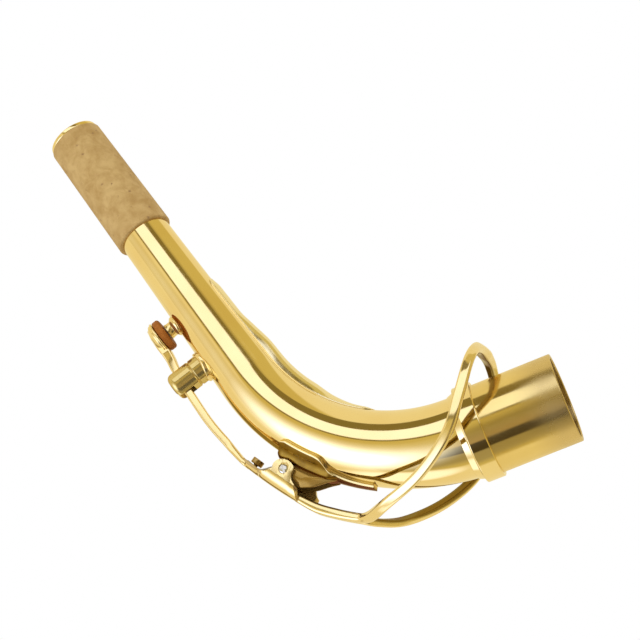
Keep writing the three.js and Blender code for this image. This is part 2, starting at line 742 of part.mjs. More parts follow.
function octavePad() {
  const outside = PAD_DIAMETER / 2;
  const plug = CUP_DIAMETER / 2 - CUP_WALL - FIT;
  const shoulder = PAD_FACE + PAD_SHOWN;
  const top = CUP_RIM + CUP_HEIGHT - CUP_ROOF - FIT - CARD_THICKNESS - FIT;
  return standing(turned([
    [0, PAD_FACE],
    [outside - PAD_EDGE, PAD_FACE],
    [outside, PAD_FACE + PAD_EDGE],
    [outside, shoulder - PAD_EDGE / 2],
    [outside - PAD_EDGE / 2, shoulder],
    [plug, shoulder],
    [plug, top],
    [0, top],
  ], RING_SIDES), PIP_STATION);
}

function padBacking() {
  const radius = CUP_DIAMETER / 2 - CUP_WALL - FIT;
  const top = CUP_RIM + CUP_HEIGHT - CUP_ROOF - FIT;
  const rows = [[0, top - CARD_THICKNESS], [radius, top - CARD_THICKNESS], [radius, top], [0, top]];
  return standing(turned(rows, RING_SIDES), PIP_STATION);
}

// Path of one side of the ring, in shares of its chord, its bow and its half width.
const RING_PATH_SHARES = [
  [0, 0, 0],
  [0.114, 0.5, 0.5],
  [0.311, 0.88, 0.78],
  [0.539, 0.98, 1],
  [0.726, 0.71, 1.01],
  [0.9, 0.37, 0.87],
  [0.985, 0.14, 0.44],
  [1, 0.09, 0],
];

function ringPath() {
  const fall = THREE.MathUtils.degToRad(RING_FALL_DEGREES);
  const down = new THREE.Vector3(Math.cos(fall), 0, -Math.sin(fall));
  const hang = new THREE.Vector3(-Math.sin(fall), 0, -Math.cos(fall));
  const start = over(STEM_STATION, STEM_MIDDLE_HEIGHT);
  const [lastShare, lastBow] = RING_PATH_SHARES.at(-1);
  const sideways = COLLAR_DIAMETER / 2 + RING_REACH - start.x - lastBow * RING_BOW * hang.x;
  const length = sideways / (lastShare * down.x);
  const side = (sign) => RING_PATH_SHARES.map(([chord, bow, wide]) =>
    start.clone()
      .addScaledVector(down, chord * length)
      .addScaledVector(hang, bow * RING_BOW)
      .setY(sign * wide * RING_HALF_WIDTH));
  const near = side(-1);
  const far = side(1).slice(1, -1).reverse();
  return { curve: new THREE.CatmullRomCurve3([...near, ...far], true), upright: hang.negate() };
}

// Size of the ring's bar at shares of the way from the stem to the far end, where it swells.
const RING_BAR_SHARES = [
  [0, 1],
  [0.5, 0.9],
  [0.84, 0.93],
  [0.93, 1.12],
  [1, 1.35],
];

// A bar's section with bevelled edges, in the plane of two directions.
function barSection(centre, thick, wide, thickness, width, edge) {
  const half = [thickness / 2, width / 2];
  const corners = [[1, 1], [-1, 1], [-1, -1], [1, -1]];
  return corners.flatMap(([a, b]) => {
    const first = [a * (half[0] - edge), b * half[1]];
    const second = [a * half[0], b * (half[1] - edge)];
    return a * b > 0 ? [second, first] : [first, second];
  }).map(([a, b]) => centre.clone().addScaledVector(thick, a).addScaledVector(wide, b));
}

// The stem's middle and its thickness, at shares of the way from the ring to the saddle.
const STEM_LIFT_SHARES = [
  [0, 1],
  [0.35, 1],
  [0.63, 1.01],
  [1, 0.95],
];
const STEM_THICKNESS_SHARES = [
  [0, 1],
  [0.5, 1],
  [1, 0.8],
];

function keyRing() {
  const { curve, upright } = ringPath();
  const loop = Array.from({ length: LOOP_STEPS }, (_, i) => {
    const share = i / LOOP_STEPS;
    const tangent = curve.getTangentAt(share);
    const wide = upright.clone().addScaledVector(tangent, -upright.dot(tangent)).normalize();
    const thick = new THREE.Vector3().crossVectors(tangent, wide);
    const size = along(RING_BAR_SHARES, 1 - Math.abs(1 - 2 * share));
    const [thickness, width] = [RING_BAR_THICKNESS * size, RING_BAR_WIDTH * size];
    return barSection(curve.getPointAt(share), thick, wide, thickness, width, RING_BAR_EDGE);
  });
  const ring = loft(loop, "joined");
  const across = new THREE.Vector3(0, 1, 0);
  const bars = steps(0, 1, STEM_STEPS).map((share) => {
    const offset = THREE.MathUtils.lerp(STEM_STATION - PIVOT_STATION, -SADDLE_RING_END - FIT, share);
    const thickness = STEM_HEIGHT * along(STEM_THICKNESS_SHARES, share);
    const middle = over(PIVOT_STATION + offset, STEM_MIDDLE_HEIGHT * along(STEM_LIFT_SHARES, share));
    const outward = outwards(PIVOT_STATION + offset);
    const ringward = new THREE.Vector3().crossVectors(outward, across);
    const bar = barSection(middle, outward, across, thickness, STEM_WIDTH, RING_BAR_EDGE);
    const slant = (SADDLE_SKEW * share) / SADDLE_HALF_WIDTH;
    return bar.map((point) => point.addScaledVector(ringward, slant * point.y));
  });
  return join(ring, loft(bars));
}

// Spring

const SPRING_SCREW_STATION = PIVOT_STATION + SPRING_SCREW_OFFSET;
const SPRING_SEAT = saddleBack(SPRING_SCREW_OFFSET) - SADDLE_SHEET; // inner face of the saddle

// A rod through the saddle's back at the spring screw, between two heights over its inner face.
function springScrewShape(diameter, from, to) {
  const rod = new THREE.CylinderGeometry(diameter / 2, diameter / 2, to - from, SMALL_SIDES);
  rod.translate(0, SPRING_SEAT + (from + to) / 2, 0);
  return standing(rod, SPRING_SCREW_STATION);
}

function springScrew() {
  const under = -FIT - SPRING_THICKNESS - FIT;
  const shank = springScrewShape(SPRING_SCREW_SHANK, under - SPRING_SCREW_HEAD_HEIGHT / 2, SADDLE_SHEET);
  const head = springScrewShape(SPRING_SCREW_HEAD, under - SPRING_SCREW_HEAD_HEIGHT, under);
  const face = SPRING_SEAT + under - SPRING_SCREW_HEAD_HEIGHT;
  const slot = new THREE.BoxGeometry(2 * SPRING_SCREW_HEAD, 2 * SCREW_SLOT_DEPTH, SCREW_SLOT_WIDTH);
  slot.translate(0, face, 0);
  return cut(join(shank, head), standing(slot, SPRING_SCREW_STATION));
}

function leafSpring() {
  const flat = SPRING_SEAT - FIT - SPRING_THICKNESS / 2;
  const rest = FIT + PLATE_THICKNESS + FIT + SPRING_THICKNESS / 2;
  const underPivot = PIVOT_HEIGHT - SCREW_DIAMETER / 2 - FIT - SPRING_THICKNESS;
  const points = [
    [SPRING_SCREW_OFFSET + SPRING_SCREW_HEAD / 2, flat],
    [SPRING_SCREW_OFFSET - SPRING_SCREW_HEAD / 2, flat],
    [SPRING_SCREW_OFFSET / 2, (flat + underPivot) / 2],
    [SCREW_DIAMETER / 2, underPivot],
    [-SPRING_TOUCH, rest],
    [-SPRING_TAIL, rest],
  ].map(([offset, height]) => over(PIVOT_STATION + offset, height));
  const curve = new THREE.CatmullRomCurve3(points);
  const across = new THREE.Vector3(0, 1, 0);
  const rows = steps(0, 1, SPRING_STEPS).map((share) => {
    const outward = new THREE.Vector3().crossVectors(curve.getTangentAt(share), across);
    return barSection(curve.getPointAt(share), outward, across, SPRING_THICKNESS, SPRING_WIDTH, 0);
  });
  const hole = springScrewShape(SPRING_SCREW_SHANK + 2 * FIT, -OVERRUN, OVERRUN);
  return cut(loft(rows), hole);
}

const neck = new THREE.Group();

function add(name, geometry, material) {
  const mesh = new THREE.Mesh(geometry, material);
  mesh.name = name;
  neck.add(mesh);
}

add("neck_tube", neckTube(), lacquer);
add("neck_cork", neckCork(), cork);
add("tip_ring", tipRing(), lacquer);
add("tenon_sleeve", tenonSleeve(), bareBrass);
add("tenon_collar", tenonCollar(), lacquer);
add("neck_brace", neckBrace(), lacquer);
add("octave_pip", octavePip(), lacquer);
add("guide_foot", guideFoot(), lacquer);
add("guide_post", guidePost(), lacquer);
add("saddle_plate", saddlePlate(), lacquer);
add("saddle_lug_near", saddleLug(-1), lacquer);
add("saddle_lug_far", saddleLug(1), lacquer);
add("pivot_screw", pivotScrew(), steel);
add("key_saddle", keySaddle(), lacquer);
add("key_arm", keyArm(), lacquer);
add("pad_cup", padCup(), lacquer);
add("octave_pad", octavePad(), leather);
add("pad_backing", padBacking(), card);
add("key_ring", keyRing(), lacquer);
add("leaf_spring", leafSpring(), springSteel);
add("spring_screw", springScrew(), bareBrass);

export default neck;
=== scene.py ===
"""An alto saxophone neck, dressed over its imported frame, with its studio and its camera.

Sizes are in millimetres and are turned into metres where a mesh is made. A station is a distance
along the middle line of the neck from the collar's stop face. A height is measured outwards from
the skin of the tube.
"""
from math import atan2, cos, hypot, pi, radians, sin, sqrt

import bmesh
import bpy
import numpy as np
from mathutils import Matrix, Vector


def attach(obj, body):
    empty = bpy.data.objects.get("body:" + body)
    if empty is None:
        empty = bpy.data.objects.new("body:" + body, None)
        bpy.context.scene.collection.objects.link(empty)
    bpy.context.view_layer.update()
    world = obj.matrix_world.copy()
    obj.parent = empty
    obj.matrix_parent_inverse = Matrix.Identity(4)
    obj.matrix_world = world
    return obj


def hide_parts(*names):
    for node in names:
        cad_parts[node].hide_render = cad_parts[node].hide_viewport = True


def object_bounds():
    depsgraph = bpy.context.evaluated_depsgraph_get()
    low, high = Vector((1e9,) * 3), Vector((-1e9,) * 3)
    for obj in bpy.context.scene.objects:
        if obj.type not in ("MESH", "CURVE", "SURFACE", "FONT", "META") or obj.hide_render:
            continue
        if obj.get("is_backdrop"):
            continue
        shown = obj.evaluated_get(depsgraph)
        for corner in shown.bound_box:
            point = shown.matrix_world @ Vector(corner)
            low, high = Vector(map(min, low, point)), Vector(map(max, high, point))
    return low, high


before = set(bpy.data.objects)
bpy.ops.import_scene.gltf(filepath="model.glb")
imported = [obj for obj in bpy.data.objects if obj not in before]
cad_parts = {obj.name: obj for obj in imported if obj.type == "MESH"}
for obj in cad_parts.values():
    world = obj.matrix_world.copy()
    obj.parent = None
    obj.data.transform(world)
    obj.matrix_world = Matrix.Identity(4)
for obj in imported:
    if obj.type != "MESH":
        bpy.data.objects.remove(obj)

CAD_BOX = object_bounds()
METRE = 0.001
SINK = 0.1  # how deep a soldered piece goes into what carries it

# Tube
TIP_BORE = 12.4
TUBE_WALL = 0.7
ROOT_DIAMETER = 23.3
NECK_LENGTH = 167.6
BEND_START = 4.1
BEND_RADIUS = 54.8
BEND_ANGLE = radians(73.1)
FLARE_SHARE = 0.82

# Tenon and collar
TENON_DIAMETER = 24.5
TENON_WALL = 0.9
TENON_LENGTH = 22.3
COLLAR_DIAMETER = 26.5
COLLAR_HEIGHT = 5.0
COLLAR_SHELF = 0.9
BAND_DIAMETER = 24.5
BAND_HEIGHT = 1.9
BAND_SLOPE = 0.7  # how much narrower the band is at its top
COLLAR_PLAY = 0.02  # between the collar and the sleeve
TURNED_EDGE = 0.35  # rounding of turned edges

# Cork and tip ring
CORK_LENGTH = 38.0
CORK_TIP_DIAMETER = 15.7
CORK_ROOT_DIAMETER = 16.6
CORK_EDGE = 0.7
TIP_RING_DIAMETER = 14.84
TIP_RING_LENGTH = 1.3

# Brace
BRACE_START = 33.0
BRACE_LENGTH = 71.5
BRACE_WIDTH = 6.6
BRACE_RISE = 2.1
BRACE_SEAT = 0.3
BRACE_EDGE = 0.4

# Octave pip
PIP_BELOW_CORK = 28.3
PIP_BORE = 1.7
PIP_DIAMETER = 4.0
PIP_HEIGHT = 2.75
PIP_RIM_DIAMETER = 4.7
PIP_RIM_HEIGHT = 0.8
PIP_FOOT_DIAMETER = 6.0
PIP_FOOT_HEIGHT = 0.6
PIP_FADE = 0.6  # how far up from its foot the pip follows the tube's skin

# Guide
GUIDE_BELOW_PIP = 14.9
GUIDE_DIAMETER = 7.8
GUIDE_HEIGHT = 10.4
GUIDE_FOOT_DIAMETER = 9.0
GUIDE_FOOT_HEIGHT = 1.0
GUIDE_SEAT = 0.6  # where the post starts, inside its foot
GUIDE_FADE = 1.2  # how far up the post follows the tube's skin
GUIDE_NECK_HEIGHT = 3.1
GUIDE_GROOVE = 0.35
GUIDE_DOME = 1.6
GUIDE_SLOT_HEIGHT = 5.2
GUIDE_SLOT = 3.4

# Pivot, plate and lugs
PIVOT_STATION = 49.8
PIVOT_HEIGHT = 3.85
PLATE_START = 29.5
PLATE_LENGTH = 23.6
PLATE_HALF_WIDTH = 7.9
PLATE_TOP = 1.1
PLATE_FILLET = 1.9  # reach of the solder fillet at the lugs
LUG_THICKNESS = 1.6
LUG_SPACE = 4.0
LUG_TOP = 2.6
LUG_TAIL = 11.6
SCREW_DIAMETER = 1.6
SCREW_HEAD_DIAMETER = 2.5
SCREW_PROUD = 0.2
SCREW_SLOT_WIDTH = 0.5
SCREW_SLOT_DEPTH = 0.4
SCREW_TURN = radians(38)  # of its slot
LUG_PLAY = 0.05  # round the screw
EAR_PLAY = 0.06

# Key
SADDLE_SHEET = 1.2
SADDLE_HEIGHT = 8.75
SADDLE_LIFT = 1.15
SADDLE_RING_END = 5.3
SADDLE_SKEW = 2.4
SADDLE_CURL = 1.6  # how far the near side's end runs on at the corner, past the ear
SADDLE_ARM_END = 9.6
SADDLE_CORNER = 3.3
EAR_RADIUS = 2.6
NEAR_EAR_FLANK = 2.1
FAR_EAR_FLANK = 6.3
ARM_WIDTH = 2.6
ARM_HEIGHT = 2.3
ARM_OVER_TUBE = 6.1
CUP_DIAMETER = 9.8
CUP_HEIGHT = 1.6
CUP_WALL = 0.6
PAD_DIAMETER = 9.4
PAD_SHOWN = 2.1
STEM_WIDTH = 3.8
STEM_HEIGHT = 2.6
RING_CHORD = 54.499
RING_FALL = radians(55)
RING_BOW = 12.4
RING_HALF_WIDTH = 20.36
RING_BAR_WIDTH = 3.1
RING_BAR_THICKNESS = 2.3
RING_FULLNESS = 3.6  # how square the ring's bar is
STEM_STATION = 31.1
STEM_MIDDLE_HEIGHT = 9.3
SPRING_THICKNESS = 0.35
SPRING_SCREW_OFFSET = 7.3
SPRING_SCREW_HEAD = 3.4
SPRING_SCREW_DIAMETER = 1.2
SPRING_SCREW_HEAD_HEIGHT = 1.6
FIT = 0.3

# Counts
TUBE_SIDES = 160
TURNED_SIDES = 96
SMALL_SIDES = 64
EAR_HOLE_SIDES = 48
HOLE_SIDES = 32
RING_SIDES = 32
BEND_RINGS = 121
STRAIGHT_RINGS = 61
CORK_RINGS = 40
BRACE_RINGS, BRACE_COLUMNS = 91, 25
PLATE_ROWS, PLATE_COLUMNS = 91, 81
LUG_RINGS = 15
SADDLE_RINGS = 61
EAR_STEPS = 22
ARM_RINGS, ARM_TIP_RINGS = 96, 25
LOOP_RINGS = 460
CURVE_STEPS = 64
CORNER_STEPS = 5
EASE_STEPS = 6

# What follows from those
TIP_DIAMETER = TIP_BORE + 2 * TUBE_WALL
BEND_END = BEND_START + BEND_RADIUS * BEND_ANGLE
TUBE_END = NECK_LENGTH - TIP_RING_LENGTH
CORK_ROOT = TUBE_END - CORK_LENGTH
PIP_STATION = CORK_ROOT - PIP_BELOW_CORK
GUIDE_STATION = PIP_STATION - GUIDE_BELOW_PIP
LUG_OUTSIDE = LUG_SPACE / 2 + LUG_THICKNESS
EAR_INSIDE = LUG_OUTSIDE + FIT
SADDLE_HALF_WIDTH = EAR_INSIDE + SADDLE_SHEET
PAD_FACE = PIP_HEIGHT + FIT
CUP_RIM = PAD_FACE + PAD_SHOWN + FIT
CUP_TOP = CUP_RIM + CUP_HEIGHT


# The neck's middle line and skin

def middle(station):
    turned = min(max((station - BEND_START) / BEND_RADIUS, 0.0), BEND_ANGLE)
    before = min(station, BEND_START)
    after = max(station - BEND_END, 0.0)
    x = BEND_RADIUS * (1 - cos(turned)) + after * sin(turned)
    z = before + BEND_RADIUS * sin(turned) + after * cos(turned)
    return x, z, turned


def tube_radius(station):
    share = 1 - station / NECK_LENGTH
    flare = (1 - FLARE_SHARE) * share + FLARE_SHARE * share * share
    return (TIP_DIAMETER + (ROOT_DIAMETER - TIP_DIAMETER) * flare) / 2


def place(station, out, across=0.0):
    x, z, turned = middle(station)
    return np.array([x - out * cos(turned), across, z + out * sin(turned)])


def over(station, height, across=0.0):
    return place(station, tube_radius(station) + height, across)


def axes_at(station):
    """Forward along the neck, outwards and across."""
    turned = middle(station)[2]
    return np.array([sin(turned), 0.0, cos(turned)]), np.array([-cos(turned), 0.0, sin(turned)]), ACROSS


def around(station, radius, angle):
    return place(station, radius * cos(angle), radius * sin(angle))


def circle(station, radius):
    return [around(station, radius, 2 * pi * i / TUBE_SIDES) for i in range(TUBE_SIDES)]


ACROSS = np.array([0.0, 1.0, 0.0])
PIVOT = over(PIVOT_STATION, PIVOT_HEIGHT)


# Curves and profiles

def clamp(value):
    return min(max(value, 0), 1)


def level_ends(value):
    """A share from 0 to 1 that starts and ends level."""
    value = clamp(value)
    return value * value * (3 - 2 * value)


def rectangle(inside, outside, low, high):
    return [[inside, low], [outside, low], [outside, high], [inside, high]]


def along(rows, share):
    """Read a table of [share, value] rows on a smooth curve that never overshoots a row."""
    at = [row[0] for row in rows]
    value = [row[1] for row in rows]
    share = min(max(share, at[0]), at[-1])
    rise = [(value[i + 1] - value[i]) / (at[i + 1] - at[i]) for i in range(len(at) - 1)]
    slope = [rise[0]]
    for low, high in zip(rise, rise[1:]):
        slope.append(2 * low * high / (low + high) if low * high > 0 else 0.0)
    slope.append(rise[-1])
    i = min(sum(1 for a in at[1:-1] if a <= share), len(rise) - 1)
    span = at[i + 1] - at[i]
    t = (share - at[i]) / span
    return (value[i] * (1 + 2 * t) * (1 - t) ** 2 + slope[i] * span * t * (1 - t) ** 2
            + value[i + 1] * t * t * (3 - 2 * t) + slope[i + 1] * span * t * t * (t - 1))


def eased(points, radius, steps=EASE_STEPS, closed=False):
    """Round the corners of a line of points."""
    points = [np.asarray(p, float) for p in points]
    result = []
    for i, here in enumerate(points):
        if not closed and i in (0, len(points) - 1):
            result.append(here)
            continue
        back = points[i - 1] - here
        on = points[(i + 1) % len(points)] - here
        lengths = np.linalg.norm(back), np.linalg.norm(on)
        reach = min(radius, 0.45 * lengths[0], 0.45 * lengths[1])
        start = here + back / lengths[0] * reach
        end = here + on / lengths[1] * reach
        for k in range(steps + 1):
            t = k / steps
            result.append((1 - t) ** 2 * start + 2 * t * (1 - t) * here + t * t * end)
    return result


def bar_section(centre, thick, wide, thickness, width, edge):
    """A bar's section with rounded corners, in the plane of two directions."""
    points = []
    for quarter, (a, b) in enumerate(((1, 1), (-1, 1), (-1, -1), (1, -1))):
        for k in range(CORNER_STEPS + 1):
            angle = (quarter + k / CORNER_STEPS) * pi / 2
            reach_a = a * (thickness / 2 - edge) + edge * cos(angle)
            reach_b = b * (width / 2 - edge) + edge * sin(angle)
            points.append(centre + thick * reach_a + wide * reach_b)
    return points


def oval_section(centre, thick, wide, thickness, width):
    """A bar's section with crowned faces."""
    points = []
    for k in range(RING_SIDES):
        angle = 2 * pi * k / RING_SIDES
        c, d = cos(angle), sin(angle)
        size = (abs(c) ** RING_FULLNESS + abs(d) ** RING_FULLNESS) ** (-1 / RING_FULLNESS)
        points.append(centre + thick * (c * size * thickness / 2) + wide * (d * size * width / 2))
    return points


def curve(knots, count):
    """Points at even distances on a smooth curve through the knots."""
    knots = [np.asarray(k, float) for k in knots]
    knots = [2 * knots[0] - knots[1], *knots, 2 * knots[-1] - knots[-2]]
    fine = []
    for p0, p1, p2, p3 in zip(knots, knots[1:], knots[2:], knots[3:]):
        d0, d1, d2 = (sqrt(np.linalg.norm(b - a)) for a, b in ((p0, p1), (p1, p2), (p2, p3)))
        t1 = ((p1 - p0) / d0 - (p2 - p0) / (d0 + d1) + (p2 - p1) / d1) * d1
        t2 = ((p2 - p1) / d1 - (p3 - p1) / (d1 + d2) + (p3 - p2) / d2) * d1
        for t in np.arange(0, 1, 1 / CURVE_STEPS):
            fine.append(p1 + t1 * t + (3 * (p2 - p1) - 2 * t1 - t2) * t * t
                        + (2 * (p1 - p2) + t1 + t2) * t ** 3)
    fine = np.array(fine + [knots[-2]])
    travelled = np.concatenate([[0], np.cumsum(np.linalg.norm(np.diff(fine, axis=0), axis=1))])
    wanted = np.linspace(0, travelled[-1], count)
    return np.stack([np.interp(wanted, travelled, fine[:, k]) for k in range(3)], axis=1)


# Meshes

def mesh_of(name, points, faces):
    mesh = bpy.data.meshes.new(name)
    mesh.from_pydata([tuple(float(c) * METRE for c in p) for p in points], [], faces)
    mesh.validate()
    work = bmesh.new()
    work.from_mesh(mesh)
    bmesh.ops.recalc_face_normals(work, faces=work.faces)
    work.to_mesh(mesh)
    work.free()
    made = bpy.data.objects.new(name, mesh)
    bpy.context.scene.collection.objects.link(made)
    return made


def loft(name, rings, joined=False):
    """A closed body through rings of equal count, capped flat or joined end to end."""
    count = len(rings[0])
    points = [p for ring in rings for p in ring]
    faces = []
    for i in range(len(rings) if joined else len(rings) - 1):
        a = i * count
        b = (i + 1) % len(rings) * count
        for j in range(count):
            k = (j + 1) % count
            faces.append((a + j, a + k, b + k, b + j))
    if not joined:
        faces += [tuple(range(count)), tuple(range(len(points) - count, len(points)))]
    return mesh_of(name, points, faces)


def sheet(name, outer, inner):
    """A sheet with an outer and an inner face, each a grid of points."""
    rows, columns = len(outer), len(outer[0])
    points = [p for row in outer for p in row] + [p for row in inner for p in row]
    under = rows * columns
    faces = []
    for i in range(rows - 1):
        for j in range(columns - 1):
            a = i * columns + j
            quad = (a, a + 1, a + columns + 1, a + columns)
            faces.append(quad)
            faces.append(tuple(under + q for q in reversed(quad)))
    rim = [(0, j) for j in range(columns)] + [(i, columns - 1) for i in range(1, rows)]
    rim += [(rows - 1, j) for j in range(columns - 2, -1, -1)] + [(i, 0) for i in range(rows - 2, 0, -1)]
    for (i, j), (k, m) in zip(rim, rim[1:] + rim[:1]):
        a, b = i * columns + j, k * columns + m
        faces.append((b, a, under + a, under + b))
    return mesh_of(name, points, faces)


def revolved(name, rows, spot, sides=TURNED_SIDES):
    """A turned body from [radius, height] rows, placed by spot(radius, angle, height).

    The rows start and end on the axis, or else go round the section of a ring.
    """
    closed = rows[0][0] > 0
    points, rings = [], []
    for radius, height in rows:
        if radius > 0:
            rings.append(range(len(points), len(points) + sides))
            points += [spot(radius, 2 * pi * i / sides, height) for i in range(sides)]
        else:
            rings.append([len(points)] * sides)
            points.append(spot(0.0, 0.0, height))
    faces = []
    for a, b in zip(rings, rings[1:] + (rings[:1] if closed else [])):
        for j in range(sides):
            k = (j + 1) % sides
            corners = tuple(dict.fromkeys((a[j], a[k], b[k], b[j])))
            if len(corners) > 2:
                faces.append(corners)
    return mesh_of(name, points, faces)


def upright(radius, angle, height):
    """The tenon's axis."""
    return np.array([radius * cos(angle), radius * sin(angle), height])


def standing(station, follow=None):
    """A place on the neck: heights count outwards, and some of them follow the tube's skin."""
    foot = over(station, 0)
    on, out, across = axes_at(station)

    def spot(radius, angle, height):
        u, v = radius * cos(angle), radius * sin(angle)
        drop = sqrt(max(tube_radius(station + u) ** 2 - v * v, 0)) - tube_radius(station)
        share = follow(height) if follow else 0.0
        return foot + out * (height + drop * share) + on * u + across * v
    return spot


def across_pivot(radius, angle, height):
    """The pivot's axis, with heights counted along +Y."""
    turned = angle + middle(PIVOT_STATION)[2]
    return PIVOT + np.array([radius * sin(turned), height, radius * cos(turned)])


def settle(made):
    """Turn the modifiers of an object into its mesh."""
    graph = bpy.context.evaluated_depsgraph_get()
    graph.update()
    mesh = bpy.data.meshes.new_from_object(made.evaluated_get(graph))
    made.modifiers.clear()
    old = made.data
    made.data = mesh
    bpy.data.meshes.remove(old)
    mesh.name = made.name


def carve(made, *tools):
    for tool in tools:
        change = made.modifiers.new("carve", "BOOLEAN")
        change.operation = "DIFFERENCE"
        change.solver = "EXACT"
        change.object = tool
        settle(made)
        bpy.data.objects.remove(tool)


def drill(made, radius, low, high, spot, sides=HOLE_SIDES):
    carve(made, revolved("drill", rectangle(0, radius, low, high), spot, sides))


def cut_slot(made, centre, axes, sizes):
    ends = (-0.5, 0.5)
    points = [centre + axes[0] * a * sizes[0] + axes[1] * b * sizes[1] + axes[2] * c * sizes[2]
              for a in ends for b in ends for c in ends]
    faces = [(0, 1, 3, 2), (4, 6, 7, 5), (0, 4, 5, 1), (2, 3, 7, 6), (0, 2, 6, 4), (1, 5, 7, 3)]
    carve(made, mesh_of("slot", points, faces))


def rounded(made, width, angle, segments=3):
    """Round every edge of an object that is sharper than an angle."""
    change = made.modifiers.new("edges", "BEVEL")
    change.width = width * METRE
    change.segments = segments
    change.limit_method = "ANGLE"
    change.angle_limit = radians(angle)
    change.use_clamp_overlap = True
    settle(made)


def smooth(made, angle):
    """Shade an object smooth, apart from edges that are sharper than an angle."""
    work = bmesh.new()
    work.from_mesh(made.data)
    bmesh.ops.remove_doubles(work, verts=work.verts, dist=1e-7)
    bmesh.ops.recalc_face_normals(work, faces=work.faces)
    for face in work.faces:
        face.smooth = True
    for edge in work.edges:
        edge.smooth = len(edge.link_faces) == 2 and edge.calc_face_angle() < radians(angle)
    work.to_mesh(made.data)
    work.free()
    weigh = made.modifiers.new("normals", "WEIGHTED_NORMAL")
    weigh.keep_sharp = True
    weigh.weight = 80
    settle(made)


def tell(made, name, values):
    """Give each point of an object a value that its material reads."""
    for item, value in zip(made.data.attributes.new(name, "FLOAT", "POINT").data, values):
        item.value = float(value)


def wear(made, finish, node, body="neck", sharp=40):
    """Smooth a piece, put a finish on it, and let it ride on a body in place of a CAD node."""
    smooth(made, sharp)
    made.data.materials.clear()
    made.data.materials.append(finish)
    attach(made, body)
    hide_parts(node)


# Materials

class Nodes:
    """A short way to write a material's nodes."""

    def __init__(self, tree):
        self.tree = tree
        tree.nodes.clear()

    def put(self, socket, value):
        """Link a value to a socket or set it there. A colour is given without its alpha."""
        if isinstance(value, bpy.types.NodeSocket):
            self.tree.links.new(value, socket)
        else:
            socket.default_value = (*value, 1) if socket.type == "RGBA" else value

    def add(self, kind, inputs=(), **settings):
        node = self.tree.nodes.new(kind)
        for key, value in settings.items():
            setattr(node, key, value)
        for key, value in dict(inputs).items():
            self.put(node.inputs[key], value)
        return node

    def place(self, stretch=(1, 1, 1)):
        where = self.add("ShaderNodeTexCoord")
        return self.add("ShaderNodeMapping", {"Vector": where.outputs["Object"], "Scale": stretch}).outputs[0]

    def noise(self, where, scale, detail, rough=0.5, distortion=0.0):
        return self.add("ShaderNodeTexNoise", {
            "Vector": where, "Scale": scale, "Detail": detail, "Roughness": rough,
            "Distortion": distortion}).outputs["Fac"]

    def ramp(self, value, stops):
        node = self.add("ShaderNodeValToRGB", {"Fac": value})
        band = node.color_ramp
        while len(band.elements) < len(stops):
            band.elements.new(0.5)
        for element, (at, color) in zip(band.elements, stops):
            element.position = at
            element.color = (*color, 1) if isinstance(color, tuple) else (color, color, color, 1)
        return node.outputs["Color"]

    def math(self, operation, a, b, clamp=False):
        return self.add("ShaderNodeMath", {0: a, 1: b}, operation=operation, use_clamp=clamp).outputs[0]

    def mix(self, share, a, b):
        return self.add("ShaderNodeMix", {0: share, 6: a, 7: b}, data_type="RGBA").outputs[2]

    def blotches(self, value, a, b, low=0.35, high=0.65):
        """From one colour to another where a noise goes from low to high."""
        return self.mix(self.ramp(value, [(low, 0.0), (high, 1.0)]), a, b)

    def own(self, name):
        """The value that the piece's own points carry."""
        return self.add("ShaderNodeAttribute", attribute_name=name).outputs["Fac"]

    def plus(self, a, b, factor, clamp=False):
        return self.math("ADD", a, self.math("MULTIPLY", b, factor), clamp)

    def bump(self, height, strength, distance, **under):
        inputs = {"Height": height, "Strength": strength, "Distance": distance, **under}
        return self.add("ShaderNodeBump", inputs).outputs[0]


def material(name):
    """Make a material out of a function that gives its shader's inputs."""
    def make(build):
        made = bpy.data.materials.new(name)
        made.use_nodes = True
        nodes = Nodes(made.node_tree)
        shader = nodes.add("ShaderNodeBsdfPrincipled")
        nodes.add("ShaderNodeOutputMaterial", {"Surface": shader.outputs[0]})
        for key, value in build(nodes).items():
            nodes.put(shader.inputs[key.replace("_", " ")], value)
        return made
    return make


# Noises: scale, detail and roughness
CLOUD = (90, 3, 0.55)
DULL = (260, 4, 0.6)

WHITE = (1.0, 1.0, 1.0)
WORN_BRASS = (0.71, 0.55, 0.26)
WORN_HAZE = 0.18  # how much rougher worn brass is
WORN_WAVER = 0.006  # how far its edge wavers, in metres
# Painted shade: how much less metallic an inner side is made
INNER_SHADE_DULL = 0.45  # how much less metallic an inner side is


